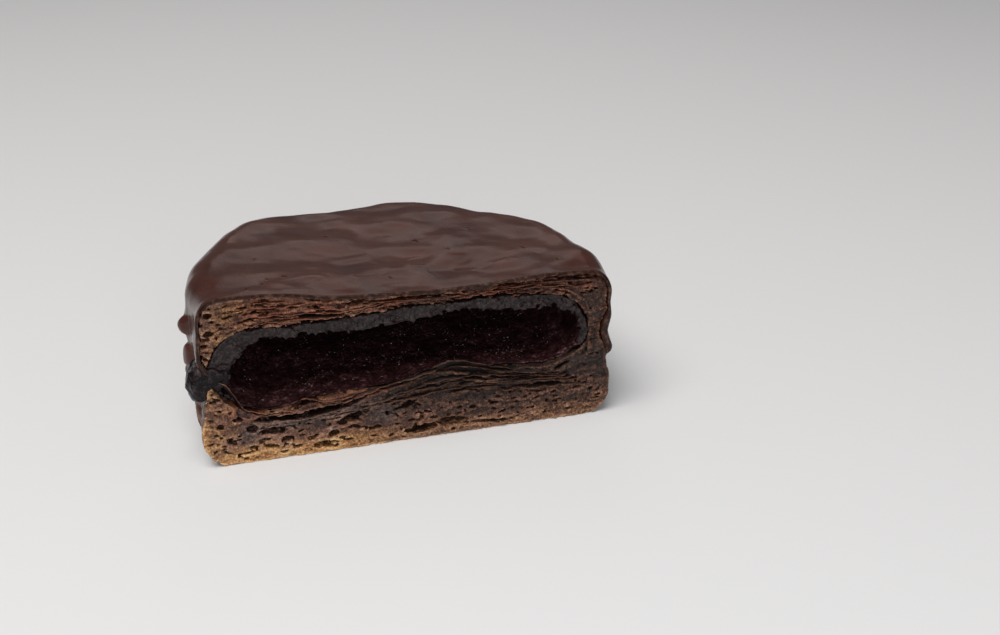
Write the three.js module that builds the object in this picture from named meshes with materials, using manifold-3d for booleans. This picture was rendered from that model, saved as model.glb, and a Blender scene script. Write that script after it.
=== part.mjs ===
// A chocolate-coated kouign-amann, cut in two beside its middle: the larger piece, lying flat.
//
// The round laminated pastry puffed up in the oven, so the cut opens a wide hollow. A dark
// chocolate paste lines the hollow and has leaked out at the left pinch, where the upper and
// the lower half of the pastry meet. A dark chocolate coat covers the top and runs down the
// rim in drips and beads.
//
// Frame: millimetres, +Z up, the underside on z = 0, the origin under the middle of the box,
// +X along the cut, and the cut face looks along -Y.
import * as THREE from "three";
import { mergeVertices } from "three/addons/utils/BufferGeometryUtils.js";
import Module from "manifold-3d";

// ---- Driving dimensions, in millimetres and degrees ----

const DISC_RADIUS = 48.0; // the bare pastry's mean radius at its foot, before it was cut
const CUT_FROM_MIDDLE = 12.8; // how far the cut passes from the disc's middle
const HEIGHT = 34.6; // bare pastry at the right end of the cut
const LEFT_RISE = 3.0; // how much thicker the left end is
const LEAN = 2.0; // how far the rim draws in from the foot to the top edge
const TOP_ROUND = 3.6; // radius of the top edge
const FOOT_WIDTH = 5.6; // bevelled foot: how far it draws in ...
const FOOT_HEIGHT = 6.5; // ... and how high it reaches
const WAIST_Z = 21.0; // height of the pinch between the two halves
const WAIST_DEPTH = 1.1;
const WAIST_HALF = 4.0;

const COAT_GAP = 0.3; // free space between touching pieces
const COAT_THICK = 1.7;
const COAT_EDGE_Z = 16.0; // mean height of the coat's lower edge
const COAT_EDGE_WAVE = 3.2; // how far drips reach below and bays above it
const COAT_BAY = 7.0; // how much higher it ends over the leak

const WALL = 4.2; // pastry between the hollow's rim and the outside
const LEAK_WALL = 1.3; // the same where the paste has broken through
const CEILING_RISE = 11.2; // hollow in the pastry, above the pinch ...
const FLOOR_DROP = 8.0; // ... and below it
const HOLLOW_BLUNT = 8; // high power: a blunt rim
const PASTE_CEILING = 2.7; // paste under the ceiling
const PASTE_FLOOR = 0.9;
const PASTE_ROUGH = 0.5; // unevenness of its inner face ...
const PASTE_TORN = 0.6; // ... and of its cut edge

const LAYERS_ABOVE = 5; // laminations over the hollow
const LAYERS_BELOW = 8;
const SLIT_DEEP = 3.4;
const LAYER_STEP = 0.9; // how far one layer stands behind its neighbour

// Cell sizes of the reliefs that the cut gives each piece: along the cut and upright.
const PASTRY_RELIEF = { stepX: 2.1, stepZ: 0.64 };
const PASTE_RELIEF = { stepX: 4.2, stepZ: 2.0 };
const PLAIN_RELIEF = { stepX: 58, stepZ: 24.5 };

// Spokes round each surface and rings along its half section.
const SKIN_GRID = { spokes: 70, rings: 22 };
const COAT_GRID = { spokes: 64, rings: 25 };
const HOLLOW_GRID = { spokes: 44, rings: 14 };
const BEHIND = 75; // how far the cutting blocks reach back

// Where the box's middle lies from the disc's middle line and from the cut.
const BOX_MIDDLE_X = -0.762;
const BOX_MIDDLE_Y = 31.153;

// Lobes of the outline: angle from the left end round the back, half width, and reach.
const OUTLINE_LOBES = [
  { at: -18, half: 9, out: 1.9 },
  { at: -8, half: 14, out: -1.3 },
  { at: 12, half: 10, out: -0.4 },
  { at: 30, half: 13, out: -1.0 },
  { at: 57, half: 13, out: 2.0 },
  { at: 79, half: 8, out: -1.6 },
  { at: 106, half: 16, out: 2.4 },
  { at: 148, half: 14, out: 1.3 },
  { at: 171, half: 9, out: -0.9 },
];

// Pores and slits of the cut face: place, half width, half height, tilt and depth.
const PORES = [
  { x: -28.5, z: 10.3, wide: 11.5, tall: 0.75, tilt: 2, deep: 6.5 },
  { x: -11.0, z: 13.2, wide: 8.0, tall: 0.55, tilt: 9, deep: 3.2 },
  { x: -33.0, z: 7.4, wide: 2.6, tall: 1.0, tilt: 0, deep: 3.4 },
  { x: -13.8, z: 7.5, wide: 3.0, tall: 1.1, tilt: 8, deep: 3.4 },
  { x: -20.0, z: 4.6, wide: 1.6, tall: 1.4, tilt: 10, deep: 2.6 },
  { x: -22.0, z: 2.3, wide: 1.7, tall: 0.9, tilt: 0, deep: 2.6 },
  { x: -34.5, z: 3.6, wide: 1.9, tall: 0.8, tilt: -8, deep: 2.4 },
  { x: -43.0, z: 8.4, wide: 1.3, tall: 1.0, tilt: 0, deep: 2.2 },
  { x: -40.5, z: 4.0, wide: 1.5, tall: 0.9, tilt: -35, deep: 2.2 },
  { x: -44.3, z: 31.6, wide: 1.2, tall: 0.9, tilt: 12, deep: 2.4 },
  { x: -21.5, z: 32.7, wide: 3.6, tall: 0.6, tilt: -3, deep: 3.0 },
  { x: -13.0, z: 34.7, wide: 3.4, tall: 0.6, tilt: 3, deep: 2.6 },
  { x: 1.5, z: 2.0, wide: 3.4, tall: 1.0, tilt: 2, deep: 6.0 },
  { x: 7.8, z: 2.9, wide: 2.8, tall: 0.9, tilt: -4, deep: 6.0 },
  { x: 17.5, z: 1.6, wide: 4.4, tall: 0.55, tilt: -3, deep: 4.0 },
  { x: 30.0, z: 9.0, wide: 6.5, tall: 0.6, tilt: -4, deep: 3.0 },
];

// Beads where the coat ran thick: angle, height over the coat's lower edge, and radius.
const COAT_BEADS = [
  { at: 3, above: 12.9, radius: 1.9 },
  { at: 2, above: 5.1, radius: 2.5 },
  { at: 42, above: 1.3, radius: 1.9 },
  { at: 124, above: 1.1, radius: 2.0 },
  { at: 152, above: 1.3, radius: 1.8 },
];

// The paste that leaked out: middle and half sizes of the plug in the pinch, and of the swell
// and the hanging tip of the drop on it.
const LEAK_DROPS = [
  { x: -45.6, y: 3.8, z: 21.4, rx: 3.6, ry: 4.8, rz: 3.3 },
  { x: -46.8, y: 3.4, z: 19.6, rx: 2.9, ry: 3.9, rz: 3.0 },
  { x: -47.2, y: 3.1, z: 17.8, rx: 2.1, ry: 2.8, rz: 2.3 },
];

// ---- Small mathematics ----

const RADIANS = Math.PI / 180;
const mix = (a, b, t) => a + (b - a) * t;
const clamp01 = (t) => Math.min(1, Math.max(0, t));
const bell = (t) => Math.exp(-t * t);

function smoothStep(from, to, value) {
  const t = clamp01((value - from) / (to - from));
  return t * t * (3 - 2 * t);
}

// A repeatable random number from -1 to 1 for each point of a whole-number lattice.
function latticeValue(i, j, seed) {
  const s = Math.sin(i * 127.1 + j * 311.7 + seed * 74.7) * 43758.5453;
  return 2 * (s - Math.floor(s)) - 1;
}

// Smooth noise from -1 to 1 over a plane.
function noise(x, y, seed) {
  const i = Math.floor(x);
  const j = Math.floor(y);
  const u = smoothStep(0, 1, x - i);
  const v = smoothStep(0, 1, y - j);
  const low = mix(latticeValue(i, j, seed), latticeValue(i + 1, j, seed), u);
  const high = mix(latticeValue(i, j + 1, seed), latticeValue(i + 1, j + 1, seed), u);
  return mix(low, high, v);
}

// ---- The pastry's outside ----

// Place on the ground from the angle round the disc, counted from the left end, and a radius.
function onGround(angle, radius) {
  const x = -radius * Math.cos(angle * RADIANS);
  const y = CUT_FROM_MIDDLE + radius * Math.sin(angle * RADIANS);
  return new THREE.Vector2(x, y);
}

function angleBetween(a, b) {
  return ((((a - b) % 360) + 540) % 360) - 180;
}

function outlineRadius(angle) {
  const lobes = OUTLINE_LOBES.map((lobe) => lobe.out * bell(angleBetween(angle, lobe.at) / lobe.half));
  return DISC_RADIUS + lobes.reduce((sum, out) => sum + out, 0);
}

// Height of the bare pastry's top: thicker on the left, with broad soft waves.
function topHeight(x, y) {
  const rise = LEFT_RISE * smoothStep(6, -46, x);
  const waves = 0.55 * noise(x / 15, y / 11, 3) + 0.25 * noise(x / 7, y / 6, 4);
  return HEIGHT + rise + waves;
}

// The half section of the skin, from the middle of the top (0) over the rim to the middle of
// the underside (1): a radius and a height.
const TOP_END = 0.42;
const ROUND_END = 0.56;
const SIDE_END = 0.8;
const FOOT_END = 0.92;

function skinSection(angle, s) {
  const foot = outlineRadius(angle);
  const rim = foot - LEAN;
  const edge = onGround(angle, rim - TOP_ROUND);
  const shoulder = topHeight(edge.x, edge.y);
  if (s <= TOP_END) {
    const radius = (rim - TOP_ROUND) * (s / TOP_END);
    const place = onGround(angle, radius);
    return new THREE.Vector2(radius, topHeight(place.x, place.y));
  }
  if (s <= ROUND_END) {
    const turn = (90 * (s - TOP_END)) / (ROUND_END - TOP_END) * RADIANS;
    const radius = rim - TOP_ROUND * (1 - Math.sin(turn));
    return new THREE.Vector2(radius, shoulder - TOP_ROUND * (1 - Math.cos(turn)));
  }
  if (s <= SIDE_END) {
    const t = (s - ROUND_END) / (SIDE_END - ROUND_END);
    const z = mix(shoulder - TOP_ROUND, FOOT_HEIGHT, t);
    const waist = WAIST_DEPTH * bell((z - WAIST_Z) / WAIST_HALF);
    const rough = 0.55 * noise(angle / 6, z / 4, 5) * smoothStep(0, 0.2, t) * smoothStep(1, 0.8, t);
    return new THREE.Vector2(mix(rim, foot, t) - waist + rough, z);
  }
  if (s <= FOOT_END) {
    const turn = (90 * (s - SIDE_END)) / (FOOT_END - SIDE_END) * RADIANS;
    const radius = foot - FOOT_WIDTH * (1 - Math.cos(turn));
    return new THREE.Vector2(radius, FOOT_HEIGHT * (1 - Math.sin(turn)));
  }
  const t = (s - FOOT_END) / (1 - FOOT_END);
  return new THREE.Vector2((foot - FOOT_WIDTH) * (1 - t), 0);
}

// A point of the skin, moved out by a distance square to the half section.
function skinPoint(angle, s, out) {
  const step = 0.004;
  const here = skinSection(angle, s);
  const before = skinSection(angle, Math.max(0, s - step));
  const after = skinSection(angle, Math.min(1, s + step));
  const along = after.sub(before).normalize();
  const radius = s === 0 || s === 1 ? 0 : here.x - out * along.y;
  const place = onGround(angle, radius);
  return new THREE.Vector3(place.x, place.y, here.y + out * along.x);
}

// ---- The hollow ----

function hollowRadius(angle) {
  const leak = bell(angleBetween(angle, -16) / 17);
  return outlineRadius(angle) - LEAN / 2 - mix(WALL, LEAK_WALL, leak);
}

// The floor's own shape: low on the left, with a hump where the layers lifted right of it.
function floorDrop(x, y) {
  const dip = 2.4 * bell((x + 33) / 8) * bell(y / 22);
  const hump = 2.2 * bell((x - 6) / 6) + 1.6 * bell((x - 18) / 9);
  return FLOOR_DROP + dip - hump * bell(y / 9) + 0.5 * noise(x / 8, y / 8, 6);
}

function ceilingRise(x, y) {
  const sag = 0.9 * bell((x + 19) / 10) * bell(y / 20);
  return CEILING_RISE - sag + 0.4 * noise(x / 9, y / 9, 7);
}

// A point of the hollow's wall, from the middle of its ceiling (0) over its rim (0.5) to the
// middle of its floor (1), moved into the hollow by the given insets.
function hollowPoint(angle, s, ceilingInset, floorInset, rimInset) {
  const above = s <= 0.5;
  const spread = Math.sin(Math.PI * Math.min(s, 1 - s));
  const rim = hollowRadius(angle) - rimInset;
  const radius = rim * spread;
  const place = onGround(angle, radius);
  const shape = Math.sqrt(Math.max(0, 1 - spread ** HOLLOW_BLUNT));
  const rise = ceilingRise(place.x, place.y) - ceilingInset;
  const drop = floorDrop(place.x, place.y) - floorInset;
  const z = above ? WAIST_Z + rise * shape : WAIST_Z - drop * shape;
  return new THREE.Vector3(place.x, place.y, z);
}

// ---- Closed meshes ----

// A closed surface from spokes round an axis and rings along a half section whose first and
// last points lie on the axis.
function spokedGeometry({ spokes, rings }, pointAt) {
  const positions = [];
  const faces = [];
  const ringStart = (ring) => 1 + (ring - 1) * spokes;
  positions.push(...pointAt(0, 0).toArray());
  for (let ring = 1; ring < rings; ring++) {
    for (let spoke = 0; spoke < spokes; spoke++) {
      positions.push(...pointAt((360 * spoke) / spokes, ring / rings).toArray());
    }
  }
  const last = positions.length / 3;
  positions.push(...pointAt(0, 1).toArray());
  for (let spoke = 0; spoke < spokes; spoke++) {
    const next = (spoke + 1) % spokes;
    faces.push(0, ringStart(1) + next, ringStart(1) + spoke);
    for (let ring = 1; ring < rings - 1; ring++) {
      const upper = ringStart(ring);
      const lower = ringStart(ring + 1);
      faces.push(upper + spoke, upper + next, lower + next);
      faces.push(upper + spoke, lower + next, lower + spoke);
    }
    faces.push(ringStart(rings - 1) + spoke, ringStart(rings - 1) + next, last);
  }
  return indexedGeometry(positions, faces);
}

function indexedGeometry(positions, faces) {
  const geometry = new THREE.BufferGeometry();
  geometry.setAttribute("position", new THREE.Float32BufferAttribute(positions, 3));
  geometry.setIndex(faces);
  return geometry;
}

// A block that reaches back from a relief over the x-z plane: what lies in front of the relief
// is cut away.
function reliefBlock({ stepX, stepZ }, depthAt) {
  const fromX = -58;
  const toX = 58;
  const fromZ = -3;
  const toZ = 46;
  const columns = Math.round((toX - fromX) / stepX);
  const rows = Math.round((toZ - fromZ) / stepZ);
  const positions = [];
  const faces = [];
  const xAt = (i) => mix(fromX, toX, i / columns);
  const zAt = (j) => mix(fromZ, toZ, j / rows);
  const front = (i, j) => j * (columns + 1) + i;
  for (let j = 0; j <= rows; j++) {
    for (let i = 0; i <= columns; i++) positions.push(xAt(i), depthAt(xAt(i), zAt(j)), zAt(j));
  }
  for (let j = 0; j < rows; j++) {
    for (let i = 0; i < columns; i++) {
      faces.push(front(i, j), front(i + 1, j), front(i + 1, j + 1));
      faces.push(front(i, j), front(i + 1, j + 1), front(i, j + 1));
    }
  }
  const border = [];
  for (let i = 0; i < columns; i++) border.push(front(i, 0));
  for (let j = 0; j < rows; j++) border.push(front(columns, j));
  for (let i = columns; i > 0; i--) border.push(front(i, rows));
  for (let j = rows; j > 0; j--) border.push(front(0, j));
  const backStart = positions.length / 3;
  for (const vertex of border) positions.push(positions[3 * vertex], BEHIND, positions[3 * vertex + 2]);
  const backMiddle = positions.length / 3;
  positions.push(mix(fromX, toX, 0.5), BEHIND, mix(fromZ, toZ, 0.5));
  border.forEach((vertex, k) => {
    const next = (k + 1) % border.length;
    faces.push(vertex, backStart + k, border[next]);
    faces.push(border[next], backStart + k, backStart + next);
    faces.push(backStart + k, backMiddle, backStart + next);
  });
  return indexedGeometry(positions, faces);
}

// ---- Relief of the cut ----

function pointsOfCut(x) {
  const place = Math.hypot(x, CUT_FROM_MIDDLE);
  const angle = Math.atan2(-CUT_FROM_MIDDLE, -x) / RADIANS;
  const spread = Math.min(1, place / hollowRadius(angle));
  const shape = Math.sqrt(1 - spread ** HOLLOW_BLUNT);
  return {
    ceiling: WAIST_Z + ceilingRise(x, 0) * shape,
    floor: WAIST_Z - floorDrop(x, 0) * shape,
  };
}

// How far a pore has opened the face at a point.
function poreDepth(pore, x, z) {
  const turn = pore.tilt * RADIANS;
  const dx = x - pore.x;
  const dz = z - pore.z;
  const u = (dx * Math.cos(turn) + dz * Math.sin(turn)) / pore.wide;
  const v = (dz * Math.cos(turn) - dx * Math.sin(turn)) / pore.tall;
  return pore.deep * smoothStep(1.15, 0.45, Math.hypot(u, v));
}

// How far the torn laminations lie behind the plane of the cut.
function faceDepth(x, z) {
  const cut = pointsOfCut(x);
  const upper = z > WAIST_Z;
  const count = upper ? LAYERS_ABOVE : LAYERS_BELOW;
  const inner = upper ? cut.ceiling : cut.floor;
  const outer = upper ? topHeight(x, 0) : 0;
  const level = (count * (z - outer)) / (inner - outer) + 0.45 * noise(x / 7, z / 5, 11);
  const layer = Math.floor(level);
  const fromEdge = Math.abs(level - layer - 0.5) * 2;
  const open = smoothStep(0.1, 0.7, noise(x / 6 + 31 * layer, layer, 12));
  const slit = SLIT_DEEP * open * smoothStep(0.45, 1, fromEdge);
  const step = LAYER_STEP * (0.5 + 0.5 * noise(x / 9 + 17 * layer, layer, 13));
  const crumb = 0.35 * (1 + noise(x / 1.9, z / 0.9, 14));
  const pores = PORES.reduce((most, pore) => Math.max(most, poreDepth(pore, x, z)), 0);
  return Math.max(slit, pores) + step + crumb;
}

function pasteDepth(x, z) {
  return PASTE_TORN * (1 + 0.6 * noise(x / 2.6, z / 1.7, 15));
}

// ---- Solids ----

const wasm = await Module();
wasm.setup();

function solidOf(geometry) {
  const bare = geometry.clone();
  bare.deleteAttribute("normal");
  bare.deleteAttribute("uv");
  const merged = mergeVertices(bare, 1e-4);
  const vertProperties = new Float32Array(merged.attributes.position.array);
  const triVerts = new Uint32Array(merged.index.array);
  return new wasm.Manifold(new wasm.Mesh({ numProp: 3, vertProperties, triVerts }));
}

function geometryOf(solid) {
  const mesh = solid.getMesh();
  return indexedGeometry(Array.from(mesh.vertProperties), Array.from(mesh.triVerts));
}

function ellipsoid(x, y, z, rx, ry, rz, across, down) {
  const geometry = new THREE.SphereGeometry(1, across, down);
  geometry.scale(rx, ry, rz);
  geometry.translate(x, y, z);
  return solidOf(geometry);
}

function leakSolid(grow) {
  const drops = LEAK_DROPS.map(({ x, y, z, rx, ry, rz }) =>
    ellipsoid(x, y, z, rx + grow, ry + grow, rz + grow, 11, 6),
  );
  return drops.reduce((sum, drop) => sum.add(drop));
}

// The largest of a solid's separate bodies: crumbs that the relief cut loose are dropped.
function largestBody(solid) {
  const bodies = solid.decompose();
  return bodies.reduce((best, body) => (body.volume() > best.volume() ? body : best));
}

function pastrySolid() {
  const whole = solidOf(spokedGeometry(SKIN_GRID, (angle, s) => skinPoint(angle, s, 0)));
  const hollow = solidOf(spokedGeometry(HOLLOW_GRID, (angle, s) => hollowPoint(angle, s, 0, 0, 0)));
  const block = solidOf(reliefBlock(PASTRY_RELIEF, faceDepth));
  return largestBody(whole.intersect(block).subtract(hollow).subtract(leakSolid(COAT_GAP)));
}

function fillingSolid() {
  const outside = (angle, s) => hollowPoint(angle, s, COAT_GAP, COAT_GAP, COAT_GAP);
  const inside = (angle, s) => {
    const rough = PASTE_ROUGH * noise(angle / 5, 9 * s, 8);
    return hollowPoint(angle, s, PASTE_CEILING + rough, PASTE_FLOOR + COAT_GAP, PASTE_CEILING);
  };
  const core = solidOf(spokedGeometry(HOLLOW_GRID, inside));
  const lining = solidOf(spokedGeometry(HOLLOW_GRID, outside)).subtract(core);
  const block = solidOf(reliefBlock(PASTE_RELIEF, pasteDepth));
  return largestBody(lining.add(leakSolid(0)).intersect(block));
}

// Height of the coat's lower edge: drips, and a bay where the paste leaks out.
function coatEdge(angle) {
  const drips = noise(angle / 9, 0, 21) + 0.6 * noise(angle / 4.3, 0, 22);
  const bay = COAT_BAY * bell(angleBetween(angle, -18) / 12);
  return COAT_EDGE_Z + COAT_EDGE_WAVE * drips + bay;
}

function coatPoint(angle, s) {
  const outside = s < 0.5;
  const along = outside ? 2 * s : 2 * (1 - s);
  const rim = onGround(angle, outlineRadius(angle) - LEAN - TOP_ROUND);
  const sideTop = topHeight(rim.x, rim.y) - TOP_ROUND;
  const share = (sideTop - coatEdge(angle)) / (sideTop - FOOT_HEIGHT);
  const end = mix(ROUND_END, SIDE_END, share);
  return skinPoint(angle, end * along, outside ? COAT_GAP + COAT_THICK : -COAT_GAP);
}

function coatBead(bead) {
  const { at, above, radius } = bead;
  const place = onGround(at, outlineRadius(at) - LEAN / 2 + 0.9);
  return ellipsoid(place.x, place.y, coatEdge(at) + above, radius, radius, 1.3 * radius, 8, 5);
}

function coatSolid() {
  const inner = solidOf(spokedGeometry(SKIN_GRID, (angle, s) => skinPoint(angle, s, COAT_GAP)));
  const shell = solidOf(spokedGeometry(COAT_GRID, coatPoint));
  const whole = COAT_BEADS.reduce((sum, bead) => sum.add(coatBead(bead)), shell);
  const block = solidOf(reliefBlock(PLAIN_RELIEF, () => 0));
  return largestBody(whole.subtract(inner).intersect(block).subtract(leakSolid(COAT_GAP)));
}

// ---- The part ----

function finish(color, roughness) {
  return new THREE.MeshStandardMaterial({ color, roughness, metalness: 0 });
}

function pieceOf(name, solid, material) {
  const mesh = new THREE.Mesh(geometryOf(solid), material);
  mesh.name = name;
  mesh.position.set(-BOX_MIDDLE_X, -BOX_MIDDLE_Y, 0);
  return mesh;
}

const part = new THREE.Group();
part.add(pieceOf("pastry", pastrySolid(), finish(0x7c5638, 0.85)));
part.add(pieceOf("chocolate_filling", fillingSolid(), finish(0x2c2224, 0.6)));
part.add(pieceOf("chocolate_coating", coatSolid(), finish(0x4a2f27, 0.3)));

export default part;
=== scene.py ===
"""Looks of a chocolate-coated kouign-amann, cut in two beside its middle.

The larger piece lies flat. Everything here is worked out in millimetres in the frame of the
cut: x runs along the cut from left to right, y is the distance behind the plane of the cut,
and z is the height over the underside. `to_frame` carries such points into the part's frame.
"""
import logging
import math
from dataclasses import dataclass
from enum import Enum
from typing import Callable, Optional, Sequence

import bpy
import numpy as np
from mathutils import Euler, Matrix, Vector


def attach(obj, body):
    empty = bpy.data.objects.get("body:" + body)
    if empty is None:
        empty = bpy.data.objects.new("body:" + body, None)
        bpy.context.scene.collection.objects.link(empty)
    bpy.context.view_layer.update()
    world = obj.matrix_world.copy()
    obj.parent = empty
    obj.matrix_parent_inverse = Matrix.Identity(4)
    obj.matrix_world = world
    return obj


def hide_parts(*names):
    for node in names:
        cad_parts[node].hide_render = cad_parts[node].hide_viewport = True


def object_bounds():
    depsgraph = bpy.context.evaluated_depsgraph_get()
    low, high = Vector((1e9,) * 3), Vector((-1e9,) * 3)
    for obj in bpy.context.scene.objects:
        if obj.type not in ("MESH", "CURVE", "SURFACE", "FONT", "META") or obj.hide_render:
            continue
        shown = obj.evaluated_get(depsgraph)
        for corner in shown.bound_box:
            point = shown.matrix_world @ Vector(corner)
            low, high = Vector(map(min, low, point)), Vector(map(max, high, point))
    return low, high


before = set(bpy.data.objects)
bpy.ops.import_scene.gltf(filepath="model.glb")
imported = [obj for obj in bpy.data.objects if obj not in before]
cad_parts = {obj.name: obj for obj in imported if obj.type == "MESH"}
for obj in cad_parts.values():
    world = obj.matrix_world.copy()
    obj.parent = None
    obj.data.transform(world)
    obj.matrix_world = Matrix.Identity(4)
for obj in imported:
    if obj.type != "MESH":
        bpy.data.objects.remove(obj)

CAD_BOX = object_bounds()
log = logging.getLogger("kouign_amann")

Array = np.ndarray
MM = 0.001
MIDDLE_X = 0.762  # the disc's middle line, right of the part's origin
CUT_Y = CAD_BOX[0].y / MM  # the plane of the cut in the part's frame

# The photograph's view: focal length in pixels of an image 1000 pixels wide, the camera's
# place in the frame of the cut, and its turn.
IMAGE_WIDTH_PX = 1000
FOCAL_PX = 1444.0
CAMERA_AT = (-69.0, -281.0, 155.0)
CAMERA_YAW = 17.5
CAMERA_PITCH = 23.4
SENSOR_MM = 36.0


# ---- Small mathematics ----


def to_frame(points: Array) -> Array:
    """Carry points from the frame of the cut to the part's frame.

    Args:
        points: rows of x, y, z in millimetres.

    Returns:
        The same points in metres in the part's frame.
    """
    return (np.asarray(points, float) + np.array([MIDDLE_X, CUT_Y, 0.0])) * MM


def bell(t: Array) -> Array:
    """Return the bell curve exp(-t^2)."""
    return np.exp(-np.square(t))


def mix(a: Array, b: Array, t: Array) -> Array:
    """Return the blend of a and b at share t."""
    return a + (b - a) * t


def even_step(low: Array, high: Array, value: Array) -> Array:
    """Return 0 at low, 1 at high and an even ramp between them; low may be the larger."""
    return np.clip((value - low) / (high - low), 0.0, 1.0)


def smooth_step(low: float, high: float, value: Array) -> Array:
    """Return 0 at low, 1 at high and a smooth ramp between them; low may be the larger."""
    t = even_step(low, high, value)
    return t * t * (3 - 2 * t)


def turn_from(at: float, angle: Array) -> Array:
    """Return the turn from one angle to another, the short way round, in degrees."""
    return (angle - at + 540) % 360 - 180


def wave_value(i: Array, j: Array, seed: int) -> Array:
    """Return the repeatable random number of a whole-number lattice point."""
    s = np.sin(i * 127.1 + j * 311.7 + seed * 74.7) * 43758.5453
    return 2 * (s - np.floor(s)) - 1


def wave(x: Array, y: Array, seed: int) -> Array:
    """Smooth waves from -1 to 1 over a plane, the same ones that shape the solids.

    Args:
        x: first coordinate, in lattice steps.
        y: second coordinate, in lattice steps.
        seed: picks the lattice.

    Returns:
        The waves' heights.
    """
    x, y = np.broadcast_arrays(np.asarray(x, float), np.asarray(y, float))
    i, j = np.floor(x), np.floor(y)
    u, v = smooth_step(0, 1, x - i), smooth_step(0, 1, y - j)
    low = mix(wave_value(i, j, seed), wave_value(i + 1, j, seed), u)
    high = mix(wave_value(i, j + 1, seed), wave_value(i + 1, j + 1, seed), u)
    return mix(low, high, v)


def through(values: Sequence[float], share: Array) -> Array:
    """Follow a smooth curve through evenly spaced values.

    Args:
        values: the heights to pass through.
        share: the place along the curve, 0 at the first value and 1 at the last.

    Returns:
        The curve's height at each place.
    """
    known = np.array([values[0], *values, values[-1]], float)
    place = np.clip(share, 0, 1) * (len(values) - 1)
    left = np.minimum(place.astype(int), len(values) - 2)
    t = place - left
    a, b, c, d = (known[left + k] for k in range(4))
    return b + 0.5 * t * (c - a + t * (2 * a - 5 * b + 4 * c - d + t * (3 * (b - c) + d - a)))


class Grain:
    """Smooth repeatable noise from -1 to 1 in space, fast on large arrays."""

    SIZE = 64

    def __init__(self, seed: int) -> None:
        """Draw the lattice.

        Args:
            seed: picks the lattice.
        """
        shape = (self.SIZE,) * 3
        self.table = np.random.default_rng(seed).uniform(-1, 1, shape).astype(np.float32).ravel()

    def __call__(self, x: Array, y: Array, z: Array) -> Array:
        """Read the noise.

        Args:
            x: first coordinate, in lattice steps.
            y: second coordinate, in lattice steps.
            z: third coordinate, in lattice steps.

        Returns:
            The noise at each point.
        """
        x, y, z = np.broadcast_arrays(*(np.asarray(c, np.float32) for c in (x, y, z)))
        cells, shares = [], []
        for c in (x, y, z):
            low = np.floor(c)
            t = c - low
            shares.append(t * t * (3 - 2 * t))
            cells.append(low.astype(np.int32))
        mask = self.SIZE - 1
        total = np.zeros(x.shape, np.float32)
        for corner in range(8):
            weight = np.ones(x.shape, np.float32)
            index = np.zeros(x.shape, np.int32)
            for axis in range(3):
                bit = (corner >> axis) & 1
                weight *= shares[axis] if bit else 1 - shares[axis]
                index = index * self.SIZE + ((cells[axis] + bit) & mask)
            total += weight * self.table[index]
        return total


# ---- The form of the pastry ----


@dataclass(frozen=True)
class Lobe:
    """A bulge or dent of the outline: angle from the left end, half width and reach."""

    at: float
    half: float
    out: float


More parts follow.
